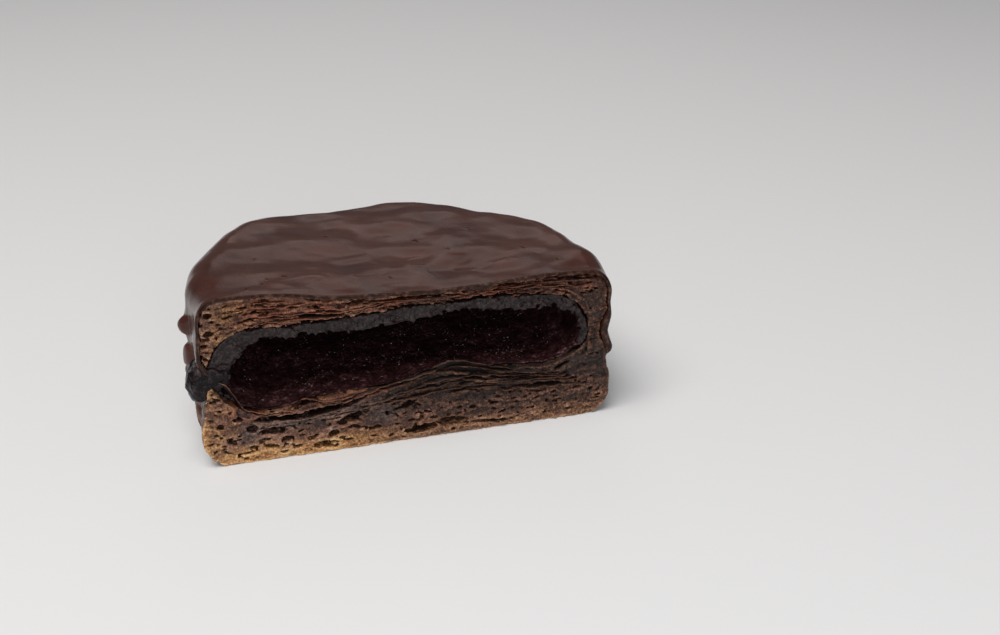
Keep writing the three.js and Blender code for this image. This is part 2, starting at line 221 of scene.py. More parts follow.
@dataclass(frozen=True)
class PastryForm:
    """Sizes of the round pastry, in millimetres and degrees, as the solids have them."""

    disc_radius: float = 48.0
    off_middle: float = 12.8
    height: float = 34.6
    left_rise: float = 3.0
    lean: float = 2.0
    top_round: float = 3.6
    foot_width: float = 5.6
    foot_height: float = 6.5
    left_swell: float = 0.3
    waist_z: float = 21.0
    waist_depth: float = 1.1
    waist_half: float = 4.0
    wall: float = 4.2
    leak_wall: float = 1.3
    leak_at: float = -16.0
    leak_half: float = 17.0
    ceiling_rise: float = 11.2
    floor_drop: float = 8.0
    lobes: tuple = (
        Lobe(-18, 9, 1.9), Lobe(-8, 14, -1.3), Lobe(12, 10, -0.4), Lobe(30, 13, -1.0),
        Lobe(57, 13, 2.0), Lobe(79, 8, -1.6), Lobe(106, 16, 2.4), Lobe(148, 14, 1.3),
        Lobe(171, 9, -0.9),
    )

    def polar(self, x: Array, y: Array) -> tuple[Array, Array]:
        """Return the angle from the left end round the back, and the radius."""
        back = y - self.off_middle
        return np.degrees(np.arctan2(back, -x)), np.hypot(x, back)

    def outline(self, angle: Array) -> Array:
        """Draw the foot's outline.

        Args:
            angle: the angles from the left end round the back.

        Returns:
            The radius at each angle.
        """
        total = np.full(np.shape(angle), self.disc_radius)
        for lobe in self.lobes:
            total = total + lobe.out * bell(turn_from(lobe.at, angle) / lobe.half)
        return total

    def top(self, x: Array, y: Array) -> Array:
        """Return the height of the bare pastry's top."""
        rise = self.left_rise * smooth_step(-6, 46, -x)
        return self.height + rise + 0.55 * wave(x / 15, y / 11, 3) + 0.25 * wave(x / 7, y / 6, 4)

    def side_radius(self, angle: Array, z: Array) -> Array:
        """Draw the rim with its lean, its waist and the foot's bevel.

        Args:
            angle: the angles from the left end round the back.
            z: the heights.

        Returns:
            The radius at each angle and height.
        """
        foot = self.outline(angle)
        side_top = self.height + self.left_rise / 2 - self.top_round
        t = even_step(side_top, self.foot_height, z)
        waist = self.waist_depth * bell((z - self.waist_z) / self.waist_half)
        ends = smooth_step(0, 0.2, t) * smooth_step(0, 0.2, 1 - t)
        rough = 0.55 * wave(angle / 6, z / 4, 5) * ends
        low = even_step(self.foot_height, 0, z)
        bevel = self.foot_width * (1 - np.sqrt(np.clip(1 - low * low, 0, 1)))
        foot = foot + self.left_swell * bell((angle + 15) / 9) * bell((z - 8.5) / 4.5)
        return foot - self.lean * (1 - t) - waist + rough - bevel

    def body(self, x: Array, y: Array, z: Array) -> Array:
        """Tell how deep a point lies inside the bare pastry's skin.

        Args:
            x: along the cut.
            y: behind the cut.
            z: height.

        Returns:
            A distance, positive inside.
        """
        angle, radius = self.polar(x, y)
        side = self.side_radius(angle, z) - radius
        top = self.top(x, y) - z
        r = self.top_round
        rounded = r - np.hypot(np.maximum(r - side, 0), np.maximum(r - top, 0))
        return np.minimum(rounded, z)

    def hollow_radius(self, angle: Array) -> Array:
        """Return how far the hollow reaches from the disc's middle at each angle."""
        wall = mix(self.wall, self.leak_wall, bell(turn_from(self.leak_at, angle) / self.leak_half))
        return self.outline(angle) - self.lean / 2 - wall

    def rise(self, x: Array, y: Array) -> Array:
        """Return the height of the hollow's ceiling above the pinch."""
        sag = 0.9 * bell((x + 19) / 10) * bell(y / 20)
        return self.ceiling_rise - sag + 0.4 * wave(x / 9, y / 9, 7)

    def drop(self, x: Array, y: Array) -> Array:
        """Draw the hollow's floor with its dip at the left and its humps at the right.

        Args:
            x: along the cut.
            y: behind the cut.

        Returns:
            The floor's depth below the pinch.
        """
        dip = 2.4 * bell((x + 33) / 8) * bell(y / 22)
        hump = 2.2 * bell((x - 6) / 6) + 1.6 * bell((x - 18) / 9)
        return self.floor_drop + dip - hump * bell(y / 9) + 0.5 * wave(x / 8, y / 8, 6)

    def hollow(self, x: Array, y: Array, z: Array, up: Array = 0.0, down: Array = 0.0,
               rim: Array = 0.0) -> Array:
        """Tell how deep a point lies in the hollow.

        Args:
            x: along the cut.
            y: behind the cut.
            z: height.
            up: inset from the ceiling.
            down: inset from the floor.
            rim: inset from the rim.

        Returns:
            A distance, positive in the open space.
        """
        angle, radius = self.polar(x, y)
        half = np.where(z > self.waist_z, self.rise(x, y) - up, self.drop(x, y) - down)
        spread = radius / (self.hollow_radius(angle) - rim)
        return (1 - np.hypot((z - self.waist_z) / half, spread ** 4)) * half

    def ceiling_and_floor(self, x: Array, y: Array, up: Array = 0.0, down: Array = 0.0,
                          rim: Array = 0.0) -> tuple[Array, Array]:
        """Find the hollow's ceiling and floor, which meet at its rim.

        Args:
            x: along the cut.
            y: behind the cut.
            up: inset from the ceiling.
            down: inset from the floor.
            rim: inset from the rim.

        Returns:
            The heights of the ceiling and of the floor.
        """
        angle, radius = self.polar(x, y)
        spread = np.clip(radius / (self.hollow_radius(angle) - rim), 0, 1)
        arch = np.sqrt(1 - spread ** 8)
        return self.waist_z + (self.rise(x, y) - up) * arch, self.waist_z - (self.drop(x, y) - down) * arch


FORM = PastryForm()


# ---- Meshes ----


class Node(Enum):
    """The record's nodes, by the name that a solid shares with its material slot."""

    PASTRY = "pastry"
    FILLING = "chocolate_filling"
    COATING = "chocolate_coating"


def mesh_piece(name: str, points: Array, faces: Sequence, finish: bpy.types.Material, node: Node,
               smooth: bool = True) -> bpy.types.Object:
    """Make one piece of the part from points in the frame of the cut.

    Args:
        name: the piece's name.
        points: its vertices in millimetres.
        faces: an array of quads or triangles, or a list of arrays of them.
        finish: its material.
        node: the solid that it replaces, which is hidden.
        smooth: whether it is shaded smooth.

    Returns:
        The new object.
    """
    groups = [f for f in (faces if isinstance(faces, list) else [faces]) if len(f)]
    mesh = bpy.data.meshes.new(name)
    mesh.vertices.add(len(points))
    mesh.vertices.foreach_set("co", to_frame(points).astype(np.float32).ravel())
    corners = np.concatenate([np.asarray(g, np.int32).ravel() for g in groups])
    sizes = np.concatenate([np.full(len(g), np.shape(g)[1], np.int32) for g in groups])
    mesh.loops.add(len(corners))
    mesh.loops.foreach_set("vertex_index", corners)
    mesh.polygons.add(len(sizes))
    starts = np.concatenate([[0], np.cumsum(sizes)[:-1]])
    mesh.polygons.foreach_set("loop_start", starts.astype(np.int32))
    mesh.update(calc_edges=True)
    mesh.validate()
    mesh.polygons.foreach_set("use_smooth", np.full(len(mesh.polygons), smooth))
    mesh.materials.append(finish)
    return settle(name, mesh, node)


def place(name: str, data: bpy.types.ID) -> bpy.types.Object:
    """Put an object with this mesh, light or camera into the scene.

    Args:
        name: the object's name.
        data: what it shows.

    Returns:
        The new object.
    """
    thing = bpy.data.objects.new(name, data)
    bpy.context.collection.objects.link(thing)
    return thing


def settle(name: str, mesh: bpy.types.Mesh, node: Node) -> bpy.types.Object:
    """Make a piece that rides on the body and stands for the solid that it hides.

    Args:
        name: the piece's name.
        mesh: its mesh.
        node: the solid that it replaces, which is hidden.

    Returns:
        The new object.
    """
    piece = place(name, mesh)
    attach(piece, "root")
    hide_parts(node.value)
    log.info("%s: %d vertices, %d faces", name, len(mesh.vertices), len(mesh.polygons))
    return piece


def put_attribute(piece: bpy.types.Object, name: str, values: Array) -> None:
    """Store one number for each vertex of a piece under a name that its material reads."""
    layer = piece.data.attributes.new(name, "FLOAT", "POINT")
    layer.data.foreach_set("value", np.asarray(values, np.float32))


@dataclass
class Grid:
    """A regular grid of points in a box, on which a field is sampled."""

    low: tuple
    high: tuple
    step: tuple

    def __post_init__(self) -> None:
        """Work out the coordinates along each side."""
        self.sides = [np.arange(a, b + s / 2, s, dtype=np.float32)
                      for a, b, s in zip(self.low, self.high, self.step)]

    def points(self, part: Sequence[slice] = (slice(None),) * 3) -> tuple[Array, Array, Array]:
        """Return x, y and z of the grid's points, or of a window of them, as full arrays."""
        return tuple(np.meshgrid(*(side[s] for side, s in zip(self.sides, part)), indexing="ij"))

    def window(self, centre: Sequence[float], reach: Sequence[float]) -> Optional[tuple]:
        """Find the part of the grid round a point.

        Args:
            centre: the middle of the window.
            reach: its half sizes.

        Returns:
            The three slices, or None where the window lies outside the grid.
        """
        slices = []
        for side, middle, half in zip(self.sides, centre, reach):
            first, last = np.searchsorted(side, (middle - half, middle + half))
            if last - first < 2:
                return None
            slices.append(slice(int(first), int(last)))
        return tuple(slices)


def bordered(values: Array) -> Array:
    """Return a field whose border lies just outside the solid, so that its surface closes."""
    return np.pad(values[1:-1, 1:-1, 1:-1], 1, constant_values=-0.1)


def surface_net(values: Array, grid: Grid) -> tuple[Array, Array]:
    """Draw the closed surface on which a field changes sign.

    Args:
        values: the field, positive inside the solid and negative on the grid's border.
        grid: where the field is sampled.

    Returns:
        Vertices in millimetres, and quads that face outwards.
    """
    inside = values > 0
    cells = tuple(n - 1 for n in values.shape)
    total = np.zeros((3,) + cells, np.float32)
    count = np.zeros(cells, np.float32)
    for axis in range(3):
        others = [a for a in range(3) if a != axis]
        ahead = [slice(None)] * 3
        here = [slice(None)] * 3
        ahead[axis], here[axis] = slice(1, None), slice(None, -1)
        start, end = values[tuple(here)], values[tuple(ahead)]
        crossed = inside[tuple(here)] != inside[tuple(ahead)]
        share = np.where(crossed, start / np.where(crossed, start - end, 1), 0).astype(np.float32)
        for da in (0, 1):
            for db in (0, 1):
                pick = [slice(None)] * 3
                pick[others[0]] = slice(da, cells[others[0]] + da)
                pick[others[1]] = slice(db, cells[others[1]] + db)
                hit = crossed[tuple(pick)]
                total[axis] += share[tuple(pick)]
                total[others[0]] += da * hit
                total[others[1]] += db * hit
                count += hit
    used = count > 0
    number = np.full(cells, -1, np.int32)
    number[used] = np.arange(int(used.sum()), dtype=np.int32)
    where = np.argwhere(used).astype(np.float32)
    offset = np.stack([(total[a][used] / count[used]) for a in range(3)], 1)
    points = np.array(grid.low) + (where + offset) * np.array(grid.step)
    quads = []
    for axis in range(3):
        b, c = [(1, 2), (2, 0), (0, 1)][axis]
        here, ahead = [slice(1, -1)] * 3, [slice(1, -1)] * 3
        here[axis], ahead[axis] = slice(None, -1), slice(1, None)
        first, second = inside[tuple(here)], inside[tuple(ahead)]
        base = np.argwhere(first != second)
        flip = first[first != second]
        corner = []
        for db, dc in ((0, 0), (1, 0), (1, 1), (0, 1)):
            at = base.copy()
            at[:, b] += db
            at[:, c] += dc
            corner.append(number[at[:, 0], at[:, 1], at[:, 2]])
        quad = np.stack(corner, 1)
        quad[~flip] = quad[~flip][:, ::-1]
        quads.append(quad)
    return points, np.concatenate(quads)


def sample(values: Array, grid: Grid, points: Array) -> Array:
    """Read a field at the grid points nearest to the given places."""
    index = [np.clip(np.rint((points[:, a] - grid.low[a]) / grid.step[a]).astype(int), 0,
                     values.shape[a] - 1) for a in range(3)]
    return values[tuple(index)]


def box_blur(values: Array, half: int) -> Array:
    """Blur a field with a box along each axis.

    Args:
        values: the field.
        half: the box's half size, in samples.

    Returns:
        The blurred field.
    """
    out = values.astype(np.float32)
    for axis in range(3):
        size = 2 * half + 1
        pad = [(0, 0)] * 3
        pad[axis] = (half + 1, half)
        run = np.cumsum(np.pad(out, pad, mode="edge"), axis=axis, dtype=np.float64)
        ahead, behind = [slice(None)] * 3, [slice(None)] * 3
        ahead[axis], behind[axis] = slice(size, None), slice(None, -size)
        out = ((run[tuple(ahead)] - run[tuple(behind)]) / size).astype(np.float32)
    return out


def grid_quads(index: Array) -> Array:
    """Return the quads between the rows and columns of a grid of vertex numbers."""
    corners = (index[:-1, :-1], index[1:, :-1], index[1:, 1:], index[:-1, 1:])
    return np.stack(corners, -1).reshape(-1, 4)


@dataclass
class Sheet:
    """A surface over a half disc: angles from left to right and steps along its section.

    `fine` names a stretch of the section, from and to, that gets that share of the steps.
    """

    turns: int
    steps: int
    fine: tuple = (0.0, 1.0, 1.0)

    def coordinates(self) -> tuple[Array, Array]:
        """Place the sheet's points.

        Returns:
            The angle (0 to 180) and the section share (0 to 1) of each point.
        """
        low, high, part = self.fine
        coarse = (1 - part) * low / max(low + 1 - high, 1e-9)
        even = np.linspace(0, 1, self.steps + 1)
        share = np.interp(even, (0, coarse, coarse + part, 1), (0, low, high, 1))
        return np.meshgrid(np.linspace(0, 180, self.turns + 1), share, indexing="ij")

    def close(self, outer: Array, inner: Array, across: int = 1, lip: bool = False,
              cut: Callable[[Array], Array] = lambda band: band) -> tuple[Array, Array]:
        """Join an outer and an inner surface to one closed shell with a cut face.

        Args:
            outer: points of the outer surface, angle by share.
            inner: points of the inner surface, in the same order.
            across: how many steps the cut face and the lip have across the shell.
            lip: whether the shell has an edge at share 1, and not a pole in each surface.
            cut: moves the cut face's own points.

        Returns:
            Vertices and quads, with doubles still to be merged.
        """
        points, quads = [], []

        def add_patch(patch: Array, turned: bool) -> None:
            """Add a grid of points.

            Args:
                patch: the points, by row and column.
                turned: whether its quads are turned over.
            """
            start = sum(len(p) for p in points)
            quad = grid_quads(start + np.arange(patch[..., 0].size).reshape(patch.shape[:2]))
            points.append(patch.reshape(-1, 3))
            quads.append(quad[:, ::-1] if turned else quad)

        def bridge(start: Array, end: Array) -> Array:
            """Return the points of a band from one edge to another."""
            shares = np.linspace(0, 1, across + 1)[None, :, None]
            return start[:, None] * (1 - shares) + end[:, None] * shares

        add_patch(outer, True)
        add_patch(inner, False)
        for column, turned in ((0, False), (-1, True)):
            band = bridge(outer[column], inner[column])
            band[:, 1:-1] = cut(band[:, 1:-1])
            add_patch(band, turned)
        if lip:
            add_patch(bridge(outer[:, -1], inner[:, -1]), True)
        return np.concatenate(points), np.concatenate(quads)


def welded(points: Array, quads: Array, tolerance: float = 1e-4) -> tuple[Array, list, Array]:
    """Merge vertices that lie on one another and drop what collapses.

    Args:
        points: vertices, with doubles.
        quads: faces of four corners.
        tolerance: how near two vertices are one, in millimetres.

    Returns:
        The merged vertices, a list with the quads and the triangles, and where each merged
        vertex first stood.
    """
    keys = np.round(points / tolerance).astype(np.int64)
    _, first, inverse = np.unique(keys, axis=0, return_index=True, return_inverse=True)
    quads = inverse.reshape(-1)[quads]
    same = np.stack([quads[:, k] == quads[:, (k + 1) % 4] for k in range(4)], 1)
    whole = quads[same.sum(1) == 0]
    triangles = []
    for k in range(4):
        narrow = quads[(same.sum(1) == 1) & same[:, k]]
        triangles.append(np.delete(narrow, k, axis=1))
    return points[first], [whole, np.concatenate(triangles)], first


# ---- Materials ----


def linear(hex_colour: str) -> tuple[float, float, float, float]:
    """Turn an sRGB hex colour such as "#4a2f27" to linear RGBA."""
    parts = [int(hex_colour[k:k + 2], 16) / 255 for k in (1, 3, 5)]
    return tuple(v / 12.92 if v <= 0.04045 else ((v + 0.055) / 1.055) ** 2.4 for v in parts) + (1.0,)


def add_node(tree: bpy.types.NodeTree, kind: str, inputs: Optional[dict] = None,
             **settings: object) -> bpy.types.Node:
    """Add a node to a tree.

    Args:
        tree: where the node goes.
        kind: Blender's name for the node.
        inputs: for each socket, by name or number, a value or the socket that feeds it.
        settings: properties of the node.

    Returns:
        The new node.
    """
    node = tree.nodes.new(kind)
    for key, value in settings.items():
        setattr(node, key, value)
    for key, value in (inputs or {}).items():
        if isinstance(value, bpy.types.NodeSocket):
            tree.links.new(value, node.inputs[key])
        else:
            node.inputs[key].default_value = value
    return node


class Recipe:
    """A node material in the making."""

    TONES = (0.34, 0.55, 0.76, 0.98)

    def __init__(self, name: str) -> None:
        """Start an empty material.

        Args:
            name: the material's name.
        """
        self.material = bpy.data.materials.new(name)
        self.material.use_nodes = True
        self.tree = self.material.node_tree
        self.tree.nodes.clear()

    def add(self, kind: str, inputs: Optional[dict] = None, **settings: object) -> bpy.types.Node:
        """Add a node to the material."""
        return add_node(self.tree, kind, inputs, **settings)

    def noise(self, size_mm: float, detail: float = 4.0, roughness: float = 0.55,
              stretch: tuple = (1.0, 1.0, 1.0), warp: float = 0.0) -> bpy.types.NodeSocket:
        """Add noise that stays with the piece.

        Args:
            size_mm: how large its grains are, about.
            detail: how many finer layers it has.
            roughness: how strong the finer layers are.
            stretch: how much longer the grains are along each axis.
            warp: how far it is bent by itself.

        Returns:
            Its value, about 0.3 to 0.7.
        """
        where = self.add("ShaderNodeTexCoord").outputs["Object"]
        scaled = self.add("ShaderNodeMapping", {0: where, 3: tuple(1 / s for s in stretch)})
        return self.add("ShaderNodeTexNoise", {
            "Vector": scaled.outputs[0], "Scale": 1 / (size_mm * MM), "Detail": detail,
            "Roughness": roughness, "Distortion": warp}).outputs[0]

    def ramp(self, value: bpy.types.NodeSocket,
             stops: Sequence[tuple[float, str]]) -> bpy.types.NodeSocket:
        """Turn a value to a colour.

        Args:
            value: what picks the colour.
            stops: places on the ramp and their hex colours.

        Returns:
            The colour.
        """
        node = self.add("ShaderNodeValToRGB", {0: value})
        line = node.color_ramp.elements
        while len(line) < len(stops):
            line.new(0.5)
        for element, (position, colour) in zip(line, stops):
            element.position = position
            element.color = linear(colour)
        return node.outputs[0]

    def tones(self, tone: bpy.types.NodeSocket, colours: Sequence[str],
              lowest: float = 0.12) -> bpy.types.NodeSocket:
        """Return one of five colours and their blends, from the darkest, for painted shade as in a pore,
        to the lightest, for painted light as on a torn edge.
        """
        return self.ramp(tone, list(zip((lowest, *self.TONES), colours)))

    def blend(self, share: object, first: object, second: object) -> bpy.types.NodeSocket:
        """Return the blend of two colours."""
        return self.add("ShaderNodeMix", {0: share, 6: first, 7: second}, data_type="RGBA").outputs[2]

    def mixed(self, share: object, first: object, second: object) -> bpy.types.NodeSocket:
        """Return the blend of two plain figures."""
        return self.add("ShaderNodeMix", {0: share, 2: first, 3: second}).outputs[0]

    def figure(self, operation: str, *values: object) -> bpy.types.NodeSocket:
        """Return the result of a math operation on values or sockets."""
        return self.add("ShaderNodeMath", dict(enumerate(values)), operation=operation).outputs[0]

    def fit(self, value: bpy.types.NodeSocket, low: float, high: float, to_low: float,
            to_high: float) -> bpy.types.NodeSocket:
        """Return a value carried from one range to another and held inside it."""
        inputs = {0: value, 1: low, 2: high, 3: to_low, 4: to_high}
        return self.add("ShaderNodeMapRange", inputs, clamp=True).outputs[0]

    def attribute(self, name: str) -> bpy.types.NodeSocket:
        """Return a number stored on the vertices."""
        return self.add("ShaderNodeAttribute", attribute_name=name).outputs["Fac"]

    def bump(self, height: bpy.types.NodeSocket, depth_mm: float,
             under: Optional[bpy.types.NodeSocket] = None) -> bpy.types.NodeSocket:
        """Bend the normal by a height field.

        Args:
            height: the field, 0 to 1.
            depth_mm: how deep it is.
            under: the normal that it is laid on, if not the mesh's own.

        Returns:
            The bent normal.
        """
        inputs = {"Height": height, "Distance": depth_mm * MM, "Strength": 1.0}
        if under is not None:
            inputs["Normal"] = under
        return self.add("ShaderNodeBump", inputs).outputs[0]

    def finish(self, inputs: dict) -> bpy.types.Material:
        """End in a Principled shader.

        Args:
            inputs: values or sockets for the shader's inputs.

        Returns:
            The material.
        """
        shader = self.add("ShaderNodeBsdfPrincipled", inputs)
        self.add("ShaderNodeOutputMaterial", {0: shader.outputs[0]})
        return self.material


@dataclass(frozen=True)
class ChocolateCoat:
    """Set couverture chocolate, poured warm: smooth, softly glossy, with faint bloom."""

    dark: str = "#341b15"
    base: str = "#45261f"
    worn: str = "#68483e"
    cut: str = "#31201a"
    cut_low: str = "#1c0f0b"
    cut_high: str = "#58443a"
    ior: float = 1.5
    roughness: float = 0.2

    def material(self) -> bpy.types.Material:
        """Mix the coat: broad colour drift, fine specks of bloom and soft ripples.

        Returns:
            The material.
        """
        r = Recipe("set_chocolate_coat")
        drift = r.noise(11, 3)
        colour = r.ramp(drift, [(0.34, self.dark), (0.66, self.base)])
        bloom = r.fit(r.noise(0.5, 2), 0.70, 0.80, 0.0, 0.3)
        colour = r.blend(bloom, colour, linear(self.worn))
        edge = r.attribute("cut")
        torn = r.ramp(r.noise(1.1, 4), [(0.36, self.cut_low), (0.52, self.cut), (0.68, self.cut_high)])
        colour = r.blend(r.fit(edge, 0.0, 1.0, 0.0, 0.9), colour, torn)
        shine = r.fit(r.noise(6, 4), 0.3, 0.7, self.roughness - 0.05, self.roughness + 0.08)
        shine = r.figure("ADD", shine, r.figure("MULTIPLY", edge, 0.2))
        ripple = r.bump(r.noise(3.6, 3, warp=0.4), 0.06)
        skin = r.bump(r.noise(0.5, 2), 0.004, ripple)
        return r.finish({"Base Color": colour, "Roughness": shine, "IOR": self.ior, "Normal": skin,
                         "Specular IOR Level": 0.15, "Subsurface Weight": 0.02,
                         "Subsurface Radius": (0.9, 0.5, 0.4), "Subsurface Scale": 0.6 * MM})


@dataclass(frozen=True)
class BakedCrust:
    """The pastry's outer crust: sugar and butter caramelised on it, red-brown and glossy."""

    brown: tuple = ("#120604", "#35180c", "#5d341c", "#8a5a34", "#b98a58")
    burnt: tuple = ("#140504", "#36130b", "#542413", "#7c3f1f", "#a36236")

    def paint(self, r: Recipe) -> tuple:
        """Mix the crust with a recipe's nodes: painted shade in grooves and pits and painted light on
        puffs, over its own tan tones, red where it burnt.

        Args:
            r: the recipe, whose piece has the attribute "rib".

        Returns:
            The colour, the roughness and the normal.
        """
        patch = r.noise(6, 4, stretch=(1.4, 1.4, 1.0))
        fine = r.noise(0.9, 5, roughness=0.65, stretch=(1.8, 1.8, 1.0))
        tone = r.figure("ADD", r.fit(patch, 0.3, 0.7, -0.1, 0.32), r.fit(fine, 0.3, 0.7, -0.16, 0.2))
        # Painted shade and light: the tone follows the relief's height, darker in grooves and pits,
        # lighter on puffs.
        tone = r.figure("ADD", tone, r.figure("MULTIPLY", r.attribute("rib"), 0.62))
        scorched = r.fit(r.noise(8, 3), 0.52, 0.64, 0.0, 0.7)
        colour = r.blend(scorched, r.tones(tone, self.brown, 0.1), r.tones(tone, self.burnt, 0.1))
        relief = r.bump(fine, 0.2, r.bump(r.noise(0.45, 3), 0.05))
        return colour, r.fit(patch, 0.35, 0.65, 0.5, 0.2), relief

    def material(self) -> bpy.types.Material:
        """Mix the crust for a piece of its own.

        Returns:
            The material.
        """
        r = Recipe("caramelised_crust")
        colour, shine, relief = self.paint(r)
        return r.finish({"Base Color": colour, "Roughness": shine, "IOR": 1.47, "Normal": relief})


@dataclass(frozen=True)
class LaminatedCrumb:
    """Torn laminated dough with cocoa: matte crumb, thin glassy layers, golden near the base."""

    brown: tuple = ("#120604", "#31190f", "#624130", "#8a6653", "#b6987f")
    golden: tuple = ("#2a1409", "#67401f", "#a37546", "#c8a271", "#e6caa3")
    reddish: tuple = ("#140603", "#3c1a10", "#6c3a26", "#8e5840", "#ae8060")
    glassy: tuple = ("#120a08", "#2a1d1a", "#503e39", "#765f57", "#9d877d")
    # The sheets' own dark brown, darkened further as painted shadow.
    sheet: tuple = ("#080302", "#1a0c07", "#372117", "#583c28", "#86664f")

    def material(self) -> bpy.types.Material:
        """Mix the dough: painted shade in pores and painted light on torn edges, streaked along the
        layers.

        Returns:
            The material.
        """
        r = Recipe("torn_laminated_dough")
        streak = r.noise(1.3, 4, stretch=(4.0, 2.0, 1.0))
        fleck = r.noise(0.42, 3, roughness=0.7)
        # Painted light and shade: the tone rises with the open space round each point, darker in pores,
        # lighter on torn edges.
        tone = r.figure("MULTIPLY", r.attribute("open"), 0.58)
        tone = r.figure("ADD", tone, r.fit(streak, 0.3, 0.7, -0.02, 0.3))
        tone = r.figure("ADD", tone, r.fit(fleck, 0.32, 0.68, -0.2, 0.23))
        tone = r.figure("ADD", tone, r.figure("MULTIPLY", r.attribute("edge"), 0.36))
        colour = r.tones(tone, self.brown)
        kinds = {"red": self.reddish, "glassy": self.glassy, "sheet": self.sheet, "gold": self.golden}
        for name, colours in kinds.items():
            colour = r.blend(r.attribute(name), colour, r.tones(tone, colours))
        shine = r.fit(r.attribute("glassy"), 0.0, 1.0, 0.68, 0.4)
        shine = r.figure("SUBTRACT", shine, r.figure("MULTIPLY", r.attribute("glaze"), 0.38))
        relief = r.bump(fleck, 0.1, r.bump(r.noise(0.2, 2), 0.04))
        outside = r.attribute("crust")
        baked, baked_shine, _ = BakedCrust().paint(r)
        colour, shine = r.blend(outside, colour, baked), r.mixed(outside, shine, baked_shine)
        return r.finish({"Base Color": colour, "Roughness": shine, "IOR": 1.45, "Normal": relief,
                         "Subsurface Weight": 0.1, "Subsurface Radius": (1.0, 0.5, 0.25),
                         "Subsurface Scale": 0.8 * MM})


@dataclass(frozen=True)
class CocoaPaste:
    """Baked dark chocolate paste: slate grey where cut, maroon black and grainy inside."""

    slate: tuple = ((0.36, "#070404"), (0.5, "#1d1314"), (0.64, "#342628"), (0.8, "#5e4b4a"))
    maroon: tuple = ((0.36, "#0e0506"), (0.5, "#2b1517"), (0.58, "#45292d"), (0.7, "#82686c"))
    neck: str = "#0c0709"

    def material(self) -> bpy.types.Material:
        """Mix the paste: satin, with fine grains that catch the light.

        Returns:
            The material.
        """
        r = Recipe("baked_cocoa_paste")
        grain = r.noise(0.7, 5, roughness=0.65)
        coarse = r.figure("MULTIPLY", r.noise(2.6, 4), 0.4)
        mottle = r.figure("ADD", r.figure("MULTIPLY", grain, 0.6), coarse)
        colour = r.blend(r.attribute("cut"), r.ramp(mottle, self.maroon), r.ramp(grain, self.slate))
        colour = r.blend(r.attribute("neck"), colour, linear(self.neck))
        shine = r.fit(grain, 0.3, 0.7, 0.28, 0.5)
        relief = r.bump(r.noise(1.4, 4), 0.4, r.bump(r.noise(0.45, 3), 0.16))
        return r.finish({"Base Color": colour, "Roughness": shine, "IOR": 1.48, "Normal": relief,
                         "Specular IOR Level": 0.26})


@dataclass(frozen=True)
class LeakedPaste:
    """Paste that boiled out at the seam and set: nearly black, lumpy and glossy."""

    painted_fold_tones: tuple = ((0.38, "#050203"), (0.52, "#140e10"), (0.68, "#3a3034"))

    def material(self) -> bpy.types.Material:
        """Mix the leak: black in the folds, slate on the swellings, partly painted shade and light that
        follow its bumps, wet to the eye.

        Returns:
            The material.
        """
        r = Recipe("glossy_leaked_paste")
        swell_and_fold_shade = r.noise(1.9, 3)
        shine = r.fit(swell_and_fold_shade, 0.3, 0.7, 0.34, 0.14)
        relief = r.bump(swell_and_fold_shade, 0.6, r.bump(r.noise(0.6, 3), 0.14))
        # Painted shade and light: the colour follows the bump's noise, darker in the folds, lighter on the
        # swellings.
        return r.finish({"Base Color": r.ramp(swell_and_fold_shade, self.painted_fold_tones), "Roughness": shine, "IOR": 1.48,
                         "Normal": relief, "Specular IOR Level": 0.16})


@dataclass(frozen=True)
class SugarGrain:
    """Sugar that didn't melt, stained by the paste: small dull crystals."""

    stains: tuple = ((0.35, "#261618"), (0.55, "#4a3838"), (0.75, "#80706c"))

    def material(self) -> bpy.types.Material:
        """Mix the grains: pale maroon, half glassy.

        Returns:
            The material.
        """
        r = Recipe("stained_sugar_grains")
        colour = r.ramp(r.noise(0.9, 2), self.stains)
        return r.finish({"Base Color": colour, "Roughness": 0.3, "IOR": 1.54})


# ---- Pieces ----


@dataclass(frozen=True)
class Pore:
    """An opening in the cut face: place, half width, half height, tilt in degrees, depth."""

    x: float
    z: float
    wide: float
    tall: float
    tilt: float
    deep: float


@dataclass(frozen=True)
class Flake:
    """A torn sheet of dough whose edge shows on the cut, with an open slit under it.

    Its edge runs from start to end through evenly spaced heights; the slit is `gap` high and
    `deep` deep.
    """

    start: float
    end: float
    heights: tuple
    gap: float = 0.5
    deep: float = 4.0

    def height(self, x: Array) -> Array:
        """Return the height of the flake's edge at each x."""
        return through(self.heights, (x - self.start) / (self.end - self.start))

    def within(self, x: Array, soft: float = 2.5) -> Array:
        """Return 1 between the flake's ends, falling to 0 at them."""
        right = smooth_step(-self.end, soft - self.end, -x)
        return smooth_step(self.start, self.start + soft, x) * right


